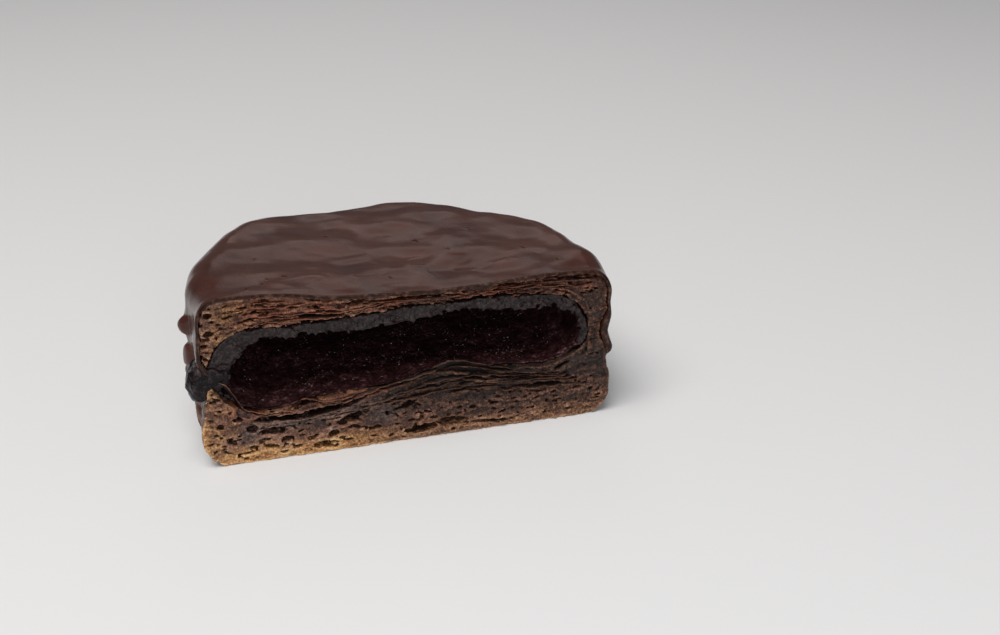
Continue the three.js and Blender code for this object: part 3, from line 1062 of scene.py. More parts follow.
# The openings that stand out on the cut face, as in the solids, and the finer ones round them.
MAIN_PORES = (
    Pore(-28.0, 9.7, 8.5, 0.75, -1, 6.0), Pore(-18.5, 10.6, 6.0, 0.75, 6, 6.0),
    Pore(-32.2, 6.9, 3.1, 0.8, 0, 4.0), Pore(-36.6, 8.0, 1.5, 0.8, 0, 2.7),
    Pore(-14.8, 7.5, 2.8, 1.0, 14, 3.9), Pore(-32.7, 3.2, 1.7, 0.7, -4, 2.9),
    Pore(-36.4, 3.5, 1.2, 0.5, 0, 2.4), Pore(-34.0, 5.1, 1.5, 0.4, 4, 2.7),
    Pore(-43.4, 9.5, 0.9, 0.7, 0, 2.1), Pore(-44.2, 7.7, 0.5, 0.3, 0, 1.7),
    Pore(-42.8, 7.5, 0.35, 0.3, 0, 1.5), Pore(-41.2, 5.6, 1.3, 0.8, -38, 2.5),
    Pore(-22.0, 1.9, 1.9, 0.8, 8, 3.1), Pore(-28.8, 4.5, 1.2, 0.7, 10, 2.4),
    Pore(-18.9, 4.1, 1.4, 1.0, 30, 2.6), Pore(-12.9, 4.9, 1.3, 0.3, -8, 2.5),
    Pore(-39.6, 10.7, 1.2, 0.6, -6, 3.4), Pore(-38.1, 2.4, 2.0, 0.25, 3, 3.2),
    Pore(-27.0, 2.3, 1.4, 0.5, 10, 2.6), Pore(-29.8, 1.6, 1.0, 0.3, 5, 2.2),
    Pore(-6.5, 7.3, 0.5, 0.4, 0, 1.6), Pore(-1.6, 8.5, 2.0, 0.6, 12, 3.2),
    Pore(-44.0, 16.4, 1.3, 0.3, -20, 2.6), Pore(-43.9, 13.6, 1.0, 0.3, -10, 2.2),
    Pore(-42.7, 3.4, 1.0, 0.3, -30, 2.2), Pore(-9.4, 4.2, 1.5, 0.6, 5, 2.4),
    Pore(-40.2, 15.4, 0.4, 2.2, 14, 2.4), Pore(-44.3, 31.6, 1.2, 0.8, 12, 2.6),
    Pore(-21.5, 32.7, 3.6, 0.5, -3, 3.4), Pore(-13.0, 34.7, 3.4, 0.5, 3, 3.0),
    Pore(1.2, 2.4, 4.0, 1.1, 4, 6.0), Pore(8.3, 3.1, 3.6, 1.2, -4, 6.0),
    Pore(17.0, 1.8, 5.0, 0.5, -4, 5.0), Pore(30.0, 9.0, 6.5, 0.5, -4, 3.4),
    Pore(-44.2, 35.8, 0.9, 0.8, 0, 2.4), Pore(-46.3, 26.4, 0.7, 0.6, 30, 2.0),
    Pore(-45.4, 29.0, 0.9, 0.5, 20, 1.8), Pore(-43.4, 27.0, 0.8, 0.35, 40, 1.8),
)

# The sheets whose thin pale edges cross the cut face, from the hollow's floor down, then above.
FLAKES = (
    Flake(-45.2, -27.6, (19.9, 19.9, 19.3, 16.3, 13.3, 12.4, 11.8, 11.4, 11.1, 11.2, 11.5), 0.3, 2.6),
    Flake(-27.8, -11.0, (11.5, 13.5, 13.7, 12.7, 12.5, 12.5, 12.8, 13.0, 13.3), 0.5, 3.6),
    Flake(-37.0, 7.0, (10.7, 10.6, 10.4, 10.8, 11.5, 11.6, 12.3, 13.7, 14.4, 15.2, 16.2, 16.7), 0.9, 5.0),
    Flake(-38.0, 6.0, (10.0, 9.2, 8.9, 8.8, 9.4, 9.9, 10.3, 10.5, 11.0, 12.2, 13.2, 14.0), 0.0),
    Flake(-37.0, -12.0, (8.4, 8.0, 7.8, 8.3, 9.0, 9.3), 0.3, 3.0),
    Flake(-21.0, 14.0, (8.0, 8.8, 10.0, 11.4, 12.3, 12.7, 12.4), 0.45),
    Flake(2.0, 31.0, (15.7, 17.8, 18.2, 16.6, 15.1, 14.0, 13.2, 12.6), 0.8, 3.4),
    Flake(6.0, 36.0, (16.4, 16.6, 15.2, 14.0, 13.1, 12.4, 11.9), 0.6),
    Flake(0.0, 38.0, (13.2, 13.7, 14.1, 13.1, 12.0, 11.2, 10.7), 0.6),
    Flake(8.0, 40.0, (11.9, 12.1, 11.5, 10.8, 10.2, 9.8), 0.5),
    Flake(-8.0, 22.0, (10.1, 10.6, 11.1, 10.8, 10.2), 0.4, 3.0),
    Flake(18.0, 42.0, (9.4, 9.0, 8.5, 8.4), 0.4, 3.0),
    Flake(-38.0, -13.0, (31.7, 32.7, 32.4, 32.0, 32.2), 0.45, 3.4),
    Flake(-36.0, -4.0, (34.4, 34.0, 33.6, 33.4, 33.7, 34.4), 0.5, 3.0),
    Flake(-42.0, -21.0, (36.0, 36.1, 35.7, 35.9), 0.35, 2.4),
    Flake(-12.0, 17.0, (34.5, 34.9, 34.8, 34.2, 33.8), 0.45, 3.0),
    Flake(-37.5, -25.0, (37.2, 37.3, 37.1), 0.5, 3.0),
    Flake(12.0, 42.0, (34.2, 33.6, 33.4, 33.2, 32.4), 0.45, 3.0),
    Flake(18.0, 44.0, (35.2, 35.0, 34.8, 34.2), 0.35, 2.4),
    Flake(-5.0, 24.0, (1.0, 1.5, 1.6, 1.5, 1.1, 0.9), 0.0, 3.0),
)


@dataclass
class CutFace:
    """The front slab of the pastry: torn layers, slits and pores as real relief."""

    depth: float = 7.0
    step: tuple = (0.25, 0.26, 0.2)
    layers_above: float = 5.4
    layers_below: float = 9.0
    flake_step: float = 0.3
    flake_rows: int = 13
    seed: int = 7
    grid: Optional[Grid] = None
    solid: Optional[Array] = None

    def layer_level(self, x: Array, y: Array, z: Array) -> tuple[Array, Array]:
        """Count the laminations outwards from the hollow.

        Args:
            x: along the cut.
            y: behind the cut.
            z: height.

        Returns:
            The level of each point, and the thickness of one layer there.
        """
        ceiling, floor = FORM.ceiling_and_floor(x, y)
        above = z > FORM.waist_z
        height = np.where(above, FORM.top(x, y) - ceiling, floor)
        away = np.where(above, z - ceiling, floor - z)
        count = np.where(above, self.layers_above, self.layers_below)
        level = count * away / height
        return level.astype(np.float32), (height / count).astype(np.float32)

    def random_pores(self) -> list[Pore]:
        """Draw the small pores of the crumb: round ones below, slits above.

        Returns:
            The pores, in the order in which they are carved.
        """
        draw = np.random.default_rng(self.seed)
        # How many, then the ranges of x, z, half width and half height, the most tilt, the depths.
        fields = (
            (12, (-30, -4), (1.4, 7.5), (0.9, 1.8), (0.4, 0.7), 16, (1.4, 3.0)),
            (60, (-46, 2), (0.9, 8.5), (0.3, 0.8), (0.2, 0.4), 30, (0.6, 1.6)),
            (70, (-6, 46), (0.9, 9.5), (0.3, 1.0), (0.2, 0.42), 22, (0.5, 1.6)),
            (110, (-45, 46), (30.5, 38.0), (0.5, 1.7), (0.2, 0.5), 16, (0.8, 2.4)),
            (60, (-48, -41), (11.0, 34.0), (0.3, 0.8), (0.2, 0.4), 40, (0.3, 1.0)),
        )
        pores = []
        for count, along, up, wide, tall, tilt, deep in fields:
            for _ in range(count):
                pores.append(Pore(draw.uniform(*along), draw.uniform(*up), draw.uniform(*wide),
                                  draw.uniform(*tall), draw.uniform(-tilt, tilt), draw.uniform(*deep)))
        return pores

    def carve_pore(self, pore: Pore, rough: Array) -> None:
        """Take one pore out of the solid field.

        Args:
            pore: what is taken out.
            rough: fine noise on the grid, which makes its walls uneven.
        """
        slant = abs(math.sin(math.radians(pore.tilt)))
        reach = (pore.wide + 1.2, 2 * pore.deep + 1, pore.wide * slant + pore.tall + 1.0)
        part = self.grid.window((pore.x, 0.0, pore.z), reach)
        if part is None:
            return
        x, y, z = self.grid.points(part)
        turn = math.radians(pore.tilt)
        u = ((x - pore.x) * math.cos(turn) + (z - pore.z) * math.sin(turn)) / pore.wide
        v = ((z - pore.z) * math.cos(turn) - (x - pore.x) * math.sin(turn)) / pore.tall
        w = y / (pore.deep + 1.0)
        gap = (1 - np.sqrt(u * u + v * v + w * w)) * pore.tall + 0.2 * rough[part]
        self.solid[part] = np.minimum(self.solid[part], -gap)

    def carve_slit(self, flake: Flake, rough: Array, slow: Grain) -> None:
        """Open the slit under a flake.

        Args:
            flake: the sheet over the slit.
            rough: fine noise on the grid, which makes the slit's walls uneven.
            slow: broad noise that opens and closes it along the way.
        """
        middle = (min(flake.heights) + max(flake.heights)) / 2
        reach = ((flake.end - flake.start) / 2, 2 * flake.deep, (max(flake.heights) - middle) + 2.5)
        part = self.grid.window(((flake.start + flake.end) / 2, 0.0, middle), reach)
        if part is None or flake.gap == 0:
            return
        x, y, z = self.grid.points(part)
        open_here = 0.75 + 0.75 * slow(x / 3.2, y / 5, 7 * flake.start)
        inwards = smooth_step(-flake.deep - 1, 1 - flake.deep, -y)
        half = 0.5 * flake.gap * open_here * flake.within(x) * inwards
        centre = flake.height(x) - 0.15 - 0.5 * flake.gap + 0.25 * slow(x / 4, y / 3, 3 + flake.end)
        gap = half - np.abs(z - centre) + 0.1 * rough[part]
        self.solid[part] = np.minimum(self.solid[part], np.where(half > 0.06, -gap, 9.0))

    def build(self, filling: "PasteLining") -> None:
        """Work out the field of the torn slab and keep it with its grid.

        Args:
            filling: the paste, whose pocket and leak the slab leaves free.
        """
        high = (49.9, self.depth + 0.3, 39.0)
        self.grid = Grid(low=(-49.6, -0.78, -0.4), high=high, step=self.step)
        x, y, z = self.grid.points()
        warp, torn, crumb, slow = Grain(1), Grain(2), Grain(3), Grain(4)
        level, thick = self.layer_level(x, y, z)
        loose = mix(0.42, 0.85, smooth_step(28, 31, z))
        level = level + loose * warp(x / 6, y / 5, z / 2.6) + 0.16 * warp(x / 1.7, y / 1.5, z / 0.9 + 9)
        rough = crumb(x / 0.6, y / 0.55, z / 0.45)
        body = FORM.body(x, y, z).astype(np.float32)
        beside = smooth_step(40, 43, np.abs(x)) * smooth_step(24, 26.5, z)
        body += 0.9 * smooth_step(3.5, 0.8, y) * np.maximum(smooth_step(30, 33, z), beside)
        skin = body + 0.2 * crumb(x / 1.6 + 5, y / 1.6, z / 0.9) + 0.1 * rough
        hollow = filling.pocket(x, y, z, 0.0)
        solid = np.minimum(skin, -hollow + 0.22 * torn(x / 1.4, y / 1.4, z / 0.8))

        edge = np.rint(level)
        to_edge = np.abs(level - edge) * thick
        sheet = torn(x / 5.5 + 13.7 * edge, y / 4.5, edge * 7.3)
        below = smooth_step(5.5, 10.0, z) * mix(0.3, 1, smooth_step(-20, -8, x))
        flaky = np.where(z > FORM.waist_z, 0.8, below) * smooth_step(-44, -40, x)
        gap = 0.5 * smooth_step(0.05, 0.75, sheet) * smooth_step(-6.5, -2.0, -y) * flaky - 0.05
        solid = np.minimum(solid, to_edge - gap + 0.12 * rough)

        layer = np.floor(level)
        back = 0.6 * flaky * (1 + slow(x / 9 + 31 * layer, layer * 3.1, 0 * x))
        calm = mix(0.5, 1, smooth_step(9, 11, z + smooth_step(-12, 0, x)))
        frayed = 0.25 * torn(x / 2.4, 3.3, z / 2.2)
        back += calm * 0.3 * torn(x / 1.3 + 7 * layer, layer * 5.3, z / 2) + frayed
        back += 0.5 + 0.22 * calm * crumb(x / 0.8, layer, z / 0.7)
        fuzzy = 0.2 + 0.14 * smooth_step(-2, 6, x) * smooth_step(11, 8, z)
        solid = np.minimum(solid, y - back + fuzzy * rough)

        solid = np.minimum(solid, 0.1 - filling.leak_field(x, y, z))
        foam = torn(x / 1.5 + 3, y / 1.3, z / 0.95) + 0.55 * crumb(x / 0.75, y / 0.7, z / 0.5 + 11)
        foamy = mix(0.78, 0.86, smooth_step(8, -6, x)) + 0.35 * smooth_step(8.5, 11, z)
        foamy = foamy + 0.12 * np.maximum(y - 1, 0)
        solid = np.minimum(solid, (foamy - foam) * 0.8)

        self.solid = solid
        for flake in FLAKES:
            self.carve_slit(flake, rough, slow)
        for pore in list(MAIN_PORES) + self.random_pores():
            self.carve_pore(pore, rough)
        solid = np.minimum(self.solid + 0.12 * crumb(x / 1.1, y / 1.1, z / 0.8 + 4), body + 0.15)
        self.solid = bordered(np.minimum(solid, np.minimum(self.depth - y, z)))

    def colour(self, piece: bpy.types.Object, points: Array, painted_light: Array, edge: Array) -> None:
        """Store on the vertices what the dough's material reads, painted light and shade included.

        Args:
            piece: the piece to mark.
            points: its vertices in millimetres.
            painted_light: how much open space is round each vertex, 0 to 1.
            edge: 1 on thin torn edges.
        """
        x, y, z = points.T
        # The golden base, which fades to browner dough to the right, partly painted shadow, and the golden
        # dough up the left end.
        low = smooth_step(5.2, 1.2, z + 0.8 * wave(x / 3, 0, 71))
        low = low * mix(0.95, 0.16, smooth_step(-22, 2, x))
        left = smooth_step(38.5, 44.5, -x) * smooth_step(-33, -27, -z)
        column = left * (0.25 + 0.45 * wave(x / 2, z / 2.2, 74)) * mix(1, 0.3, smooth_step(20, 24, z))
        column = np.maximum(column, smooth_step(44.5, 46.5, -x) * smooth_step(-13, -9, -z))
        upper_left = bell((x + 41) / 4) * smooth_step(27, 30, z)
        column = np.maximum(column, upper_left * (0.25 + 0.4 * wave(x / 2.5, z / 1.5, 76)))
        # The dense glassy dough under the hollow, and one pale spot in the crumb.
        dense = bell((z - 8.3 - 0.09 * (x + 30)) / 1.6) * smooth_step(0, 10, -x) * smooth_step(-41, -37, x)
        dense = np.maximum(dense, 0.9 * bell((x + 37.5) / 2.6) * bell((z - 6) / 2.2))
        dense = np.maximum(dense, bell((x + 7) / 3.2) * bell((z - 7.3) / 2.4))
        spot = bell(np.hypot(x + 19.2, z - 5.4) / 0.8)
        edge = np.maximum(edge, spot)
        # The dark sheets on the hollow's floor, partly their own dark brown and partly painted shadow that
        # deepens to the right, and painted shadow that darkens the crumb towards the right, with a slight
        # darkening at mid height on the left.
        sheets = mix(0.5, 1, smooth_step(-12, 2, x)) * bell((z - 13) / 4.4) * smooth_step(-36, -26, x)
        right = smooth_step(-22, -2, x + 2 * wave(x / 6, z / 3, 73)) * smooth_step(2, 4.5, z)
        low_shade = 0.3 * right + 0.09 * (1 - right) * smooth_step(4, 7, z)
        shade = np.where(z < 20, low_shade, mix(0.12, 0.34, smooth_step(-14, 8, x)))
        # The shiny film between the first two flakes and the third, whose own darker colour joins the
        # painted shadow.
        lip = np.where(x < -27.7, FLAKES[0].height(x), FLAKES[1].height(x))
        film = smooth_step(0.1, 0.7, z - FLAKES[2].height(x)) * smooth_step(0.1, 0.5, lip - z)
        film = film * smooth_step(-41, -38, x) * smooth_step(-10, -14, x)
        shade = np.maximum(shade, 0.42 * film)
        # The crust beside the cut, paler at the left foot, and the red dough under the coat.
        outside = smooth_step(0.9, 0.4, FORM.body(x, y, z)) * smooth_step(0.5, 2.0, y)
        caramel = bell((z - 8) / 4.5) * smooth_step(4.5, 0.8, y) * smooth_step(38, 42, -x)
        above = smooth_step(30, 33, z) * smooth_step(-42, -36, x) * (0.6 + 0.4 * wave(x / 5, z / 1.5, 72))
        red = np.maximum(above, 0.7 * bell((z - 13) / 1.8) * (x < 0))
        amber = smooth_step(43.5, 46.5, -x) * smooth_step(-13, -8, -z)
        marks = {
            "crust": outside * (1 - 0.7 * caramel),
            "rib": 0.5 + 0.2 * wave(x / 1.3 + y / 1.3, z / 0.8, 75),
            # painted light from the open space round each vertex, less the painted shadow and the film's
            # darker colour
            "open": np.clip(painted_light, 0, 1) - shade,
            "edge": edge,
            "gold": np.clip(np.maximum(low, column), 0, 1),
            "glassy": np.clip(np.maximum(0.9 * dense, spot), 0, 1) * (z < 20),
            "sheet": np.clip(0.85 * sheets, 0, 1) * (z < 20),
            "red": np.clip(np.maximum(red, film), 0, 1) * smooth_step(-46, -38, x),
            "glaze": np.maximum(amber, 0.8 * film),
        }
        for name, values in marks.items():
            put_attribute(piece, name, values)

    def dress(self, finish: bpy.types.Material) -> list[bpy.types.Object]:
        """Mesh the slab above and below the hollow in pieces that overlap by one cell.

        Args:
            finish: the dough's material.

        Returns:
            The pieces.
        """
        grid = self.grid
        air = 1 - box_blur(self.solid > 0, half=3)
        xs, zs = grid.sides[0], grid.sides[2]
        everywhere, upper = np.ones(len(xs), bool), zs > FORM.waist_z
        parts = {
            "torn_crumb_upper": (everywhere, upper),
            "torn_crumb_lower_left": (xs < 0.5, ~upper),
            "torn_crumb_lower_right": (xs > 0.2, ~upper),
        }
        pieces = []
        for name, (columns, rows) in parts.items():
            keep = columns[:, None, None] & rows[None, None, :]
            points, quads = surface_net(np.where(keep, self.solid, -0.05).astype(np.float32), grid)
            piece = mesh_piece(name, points, quads, finish, Node.PASTRY, smooth=False)
            # Painted light: the open space round each vertex, less deeper behind the cut, darkens pores
            # and lightens torn edges; it also places the loose crumbs.
            near = np.clip(sample(air, grid, points) * 1.5 - 0.1 - points[:, 1] * 0.05, 0, 1)
            self.colour(piece, points, near, np.zeros(len(points)))
            put_attribute(piece, "strew", smooth_step(-3.5, -0.8, -points[:, 1]) * near)
            pieces.append(piece)
        return pieces

    def flake_sheet(self, flake: Flake, number: int) -> tuple[Array, Array]:
        """Lay out one flake, with a ragged front edge and ripples.

        Args:
            flake: the flake.
            number: its place in the row, which picks its waves.

        Returns:
            The points of its upper and its lower side, and the share from front to back of each.
        """
        xs = np.arange(flake.start, flake.end, self.flake_step)
        x, v = np.meshgrid(xs, np.linspace(0, 1, self.flake_rows) ** 1.4, indexing="ij")
        ragged = 0.45 * wave(x / 1.9, number, 81) + 0.3 * wave(x / 0.7, number, 82)
        front = np.maximum(0.32 + ragged, 0.02) + 2.8 * (1 - flake.within(x, 3.2))
        y = front + v * flake.deep
        ripple = 0.22 * wave(x / 1.8, y / 1.6 + 9 * number, 83) * (1 - 0.5 * v)
        z = flake.height(x) + ripple + 0.3 * wave(x / 5, y / 3 + 5 * number, 84)
        z = np.minimum(z, FORM.top(x, y) - 0.3)
        floor = FORM.waist_z - FORM.drop(x, y)
        buried = np.maximum(smooth_step(0.1, 0.9, v), smooth_step(1.0, 2.6, y))
        sunk = mix(z, np.minimum(z, floor - 0.5), buried)
        z = np.where((z < FORM.waist_z) & (x > -39), sunk, z - 1.5 * v * (x < -39))
        half = (0.09 + 0.16 * v) * np.sqrt(np.clip(v / 0.12, 0.04, 1))
        half = half * np.maximum(flake.within(x, 1.2), 0.1)
        return np.stack([np.stack([x, y, z + sign * half], -1) for sign in (1, -1)]), v

    def dress_flakes(self, finish: bpy.types.Material) -> None:
        """Make the thin sheets over the slits.

        Args:
            finish: the dough's material.
        """
        patches, quads, edges, count = [], [], [], 0
        for number, flake in enumerate(FLAKES):
            sides, v = self.flake_sheet(flake, number)
            upper, lower = count + np.arange(2 * v.size).reshape(2, *v.shape)
            rim = np.concatenate([upper[:, 0], upper[-1, 1:], upper[-2::-1, -1], upper[0, -2:0:-1]])
            under = rim + v.size
            quads.append(grid_quads(upper))
            quads.append(grid_quads(lower)[:, [0, 3, 2, 1]])
            quads.append(np.stack([rim, under, np.roll(under, -1), np.roll(rim, -1)], -1))
            patches.append(sides.reshape(-1, 3))
            edges.extend([np.clip(1 - v.ravel() * 5, 0, 1)] * 2)
            count += 2 * v.size
        points, edge = np.concatenate(patches), np.concatenate(edges)
        piece = mesh_piece("torn_flakes", points, np.concatenate(quads), finish, Node.PASTRY)
        # Painted shade on the flakes that deepens behind the cut, with paler front edges.
        self.colour(piece, points, 0.36 - 0.1 * points[:, 1], edge)


class Scatter:
    """Small irregular bits strewn over a surface by a Geometry Nodes tree."""

    def __init__(self, name: str, finish: bpy.types.Material, flatness: float) -> None:
        """Build the tree.

        Args:
            name: the tree's name.
            finish: the bits' material.
            flatness: their thickness as a share of their length.
        """
        self.tree = tree = bpy.data.node_groups.new(name, "GeometryNodeTree")
        face = tree.interface
        face.new_socket("Geometry", in_out="INPUT", socket_type="NodeSocketGeometry")
        self.inputs = {}
        for label in ("Bits per square metre", "Smallest", "Largest"):
            socket = face.new_socket(label, in_out="INPUT", socket_type="NodeSocketFloat")
            self.inputs[label] = socket.identifier
        socket = face.new_socket("Seed", in_out="INPUT", socket_type="NodeSocketInt")
        self.inputs["Seed"] = socket.identifier
        face.new_socket("Geometry", in_out="OUTPUT", socket_type="NodeSocketGeometry")
        given = add_node(tree, "NodeGroupInput").outputs
        where = add_node(tree, "GeometryNodeInputNamedAttribute", {"Name": "strew"}, data_type="FLOAT")
        density = add_node(tree, "ShaderNodeMath", {0: where.outputs[0], 1: given[1]},
                           operation="MULTIPLY")
        spots = add_node(tree, "GeometryNodeDistributePointsOnFaces", {
            "Mesh": given[0], "Density": density.outputs[0], "Seed": given[4]})
        bit = add_node(tree, "GeometryNodeMeshIcoSphere", {"Radius": 1.0, "Subdivisions": 1})
        lumps = add_node(tree, "ShaderNodeTexNoise", {"Scale": 1.3, "Detail": 0.0})
        push = add_node(tree, "ShaderNodeVectorMath", {0: lumps.outputs["Color"], 1: (0.5, 0.5, 0.5)},
                        operation="SUBTRACT")
        shaped = add_node(tree, "GeometryNodeSetPosition", {
            "Geometry": bit.outputs[0], "Offset": push.outputs[0]})
        turn = add_node(tree, "FunctionNodeRandomValue", {
            0: (0.0,) * 3, 1: (math.tau,) * 3, "Seed": given[4]}, data_type="FLOAT_VECTOR")
        size = add_node(tree, "FunctionNodeRandomValue", {
            2: given[2], 3: given[3], "Seed": given[4]}, data_type="FLOAT")
        stretch = add_node(tree, "ShaderNodeVectorMath", {
            0: (1.0, 0.7, flatness), "Scale": size.outputs[1]}, operation="SCALE")
        bits = add_node(tree, "GeometryNodeInstanceOnPoints", {
            "Points": spots.outputs[0], "Instance": shaped.outputs[0], "Rotation": turn.outputs[0],
            "Scale": stretch.outputs[0]})
        real = add_node(tree, "GeometryNodeRealizeInstances", {0: bits.outputs[0]})
        dressed = add_node(tree, "GeometryNodeSetMaterial", {
            "Geometry": real.outputs[0], "Material": finish})
        add_node(tree, "NodeGroupOutput", {0: dressed.outputs[0]})

    def strew(self, name: str, ground: bpy.types.Object, per_cm2: float, sizes: tuple, seed: int,
              node: Node) -> None:
        """Strew bits over a piece that carries the attribute "strew".

        Args:
            name: the new piece's name.
            ground: the piece that is strewn with them.
            per_cm2: how many fall on a square centimetre where "strew" is 1.
            sizes: half the length of the smallest and the largest, in millimetres.
            seed: picks their places.
            node: the solid that they help to replace, which is hidden.
        """
        holder = place(name + "_ground", ground.data)
        modifier = holder.modifiers.new("strew", "NODES")
        modifier.node_group = self.tree
        values = {"Bits per square metre": per_cm2 * 1e4, "Smallest": sizes[0] * MM,
                  "Largest": sizes[1] * MM, "Seed": seed}
        for label, value in values.items():
            modifier[self.inputs[label]] = value
        graph = bpy.context.evaluated_depsgraph_get()
        mesh = bpy.data.meshes.new_from_object(holder.evaluated_get(graph))
        bpy.data.objects.remove(holder)
        settle(name, mesh, node)


# Where the stretches of the skin's section end, from the middle of the top (0) to that of the
# underside (1): the level top, the rounded edge, the side and the foot's bevel.
TOP_END = 0.42
ROUND_END = 0.56
SIDE_END = 0.8
FOOT_END = 0.92


@dataclass
class RoundShell:
    """Maps angle and section share to the pastry's skin or its hollow behind a plane."""

    front: float

    def ray(self, turn: Array, radius_at: Callable[[Array], Array]) -> tuple[Array, Array]:
        """Walk from the middle of the front plane's edge to a radius.

        Args:
            turn: the direction, 0 to the left and 180 to the right, in degrees.
            radius_at: the radius from the disc's middle for each angle round it.

        Returns:
            The x and y where the ray meets that radius.
        """
        behind = FORM.off_middle - self.front
        dx, dy = -np.cos(np.radians(turn)), np.sin(np.radians(turn))
        angle = turn
        for _ in range(5):
            radius = radius_at(angle)
            reach = behind * dy + np.sqrt(np.maximum(radius ** 2 - (behind * dx) ** 2, 0))
            x, y = reach * dx, self.front + reach * dy
            angle, _ = FORM.polar(x, y)
        return x, y

    def skin(self, turn: Array, share: Array, out: Array, low_share: Array) -> Array:
        """Return points of the skin moved out by a distance.

        Args:
            turn: direction from the middle of the front plane's edge.
            share: from the middle of the top (0) to the end of the section (1).
            out: how far the surface stands off the bare pastry.
            low_share: where the section ends, such as SIDE_END for the foot's top edge.

        Returns:
            An array of points, shaped like turn with a last axis of 3.
        """
        s = share * low_share
        r = FORM.top_round + out
        t_top = even_step(0, TOP_END, s)
        t_round = even_step(TOP_END, ROUND_END, s)
        t_side = even_step(ROUND_END, SIDE_END, s)
        t_foot = even_step(SIDE_END, FOOT_END, s)
        t_base = even_step(FOOT_END, 1, s)
        edge = self.ray(turn, lambda a: FORM.outline(a) - FORM.lean - FORM.top_round)
        shoulder = FORM.top(*edge) + out - r
        z = shoulder + r * np.cos(t_round * math.pi / 2)
        z = np.where(t_side > 0, mix(shoulder, FORM.foot_height, t_side), z)
        z = np.where(t_foot > 0, FORM.foot_height * (1 - np.sin(t_foot * math.pi / 2)), z)
        z = np.where(t_base > 0, 0, z)
        inward = r * (1 - np.sin(t_round * math.pi / 2))
        full_x, full_y = self.ray(turn, lambda a: FORM.side_radius(a, z) + out - inward)
        x, y = full_x * t_top, self.front + (full_y - self.front) * t_top
        z = np.where(t_top < 1, FORM.top(x, y) + out, z)
        x, y = x * (1 - t_base), self.front + (y - self.front) * (1 - t_base)
        return np.stack([x, y, z], -1)

    def hollow(self, turn: Array, share: Array, up: Array = 0.0, down: Array = 0.0,
               rim: Array = 0.0) -> Array:
        """Return points of the hollow's wall, from its ceiling over its rim to its floor.

        Args:
            turn: direction from the middle of the front plane's edge.
            share: from the middle of the ceiling (0) to the middle of the floor (1).
            up: inset from the ceiling.
            down: inset from the floor.
            rim: inset from the rim.

        Returns:
            An array of points, shaped like turn with a last axis of 3.
        """
        spread = np.sin(math.pi * np.minimum(share, 1 - share))
        x, y = self.ray(turn, lambda a: FORM.hollow_radius(a) - rim)
        x, y = x * spread, self.front + (y - self.front) * spread
        ceiling, floor = FORM.ceiling_and_floor(x, y, up, down, rim)
        return np.stack([x, y, np.where(share <= 0.5, ceiling, floor)], -1)


@dataclass
class OuterCrust:
    """The pastry behind the torn slab: its rim with the ends of the layers, and the base."""

    front: float = 5.6
    sink: float = 0.15
    layer: float = 1.5
    groove: float = 0.5

    def dress(self, finish: bpy.types.Material) -> None:
        """Build the closed shell from the skin, with the ends of its layers, and the hollow.

        Args:
            finish: the crust's material.
        """
        sheet, shell = Sheet(turns=270, steps=160, fine=(0.6, 0.93, 0.7)), RoundShell(self.front)
        turn, share = sheet.coordinates()
        low = np.ones_like(turn)
        x, y, z = np.moveaxis(shell.skin(turn, share, np.full_like(turn, -0.12), low), -1, 0)
        angle, _ = FORM.polar(x, y)
        around = np.radians(angle) * FORM.disc_radius
        drift = 1.1 * wave(around / 11, z / 6, 31) + 0.5 * wave(around / 3.4, z / 2.6, 33)
        level = (z + drift) / self.layer
        whole, part = np.floor(level), level % 1
        groove = bell((part - 0.04) / 0.2) + bell((part - 1.04) / 0.2)
        open_here = np.clip(wave(around / 5, whole * 5.1, 34) * 1.6 + 0.35, 0, 1)
        step = 0.34 * wave(around / 4.2, whole * 3.7, 35) + 0.2 * wave(around / 1.5, whole * 5.1, 36)
        crust = Grain(37)
        puff = 0.42 * crust(x / 3.4, y / 3.4, z / 2.2)
        pitted = smooth_step(0.42, 0.7, crust(x / 1.6, y / 1.6, z / 0.9 + 9))
        rough = 0.16 * crust(x / 0.9, y / 0.9, z / 0.7 + 5) - 0.7 * pitted
        side = smooth_step(0.57, 0.62, share) * smooth_step(0.95, 0.86, share)
        near = smooth_step(self.front, self.front + 1.5, y)
        high = step + puff + rough - self.groove * open_here * groove
        out = (high - 0.1) * side * mix(0.4, 1, near)
        outer = shell.skin(turn, share, out - self.sink, low)
        points, quads = sheet.close(outer, shell.hollow(turn, share))
        shown = np.full(len(points), 0.5)
        # The relief's height, stored for the crust's painted shade in grooves and painted light on puffs.
        shown[:high.size] = np.clip(0.55 + 0.75 * high * side, 0, 1).ravel()
        points, faces, first = welded(points, quads)
        piece = mesh_piece("baked_crust", points, faces, finish, Node.PASTRY)
        put_attribute(piece, "rib", shown[first])


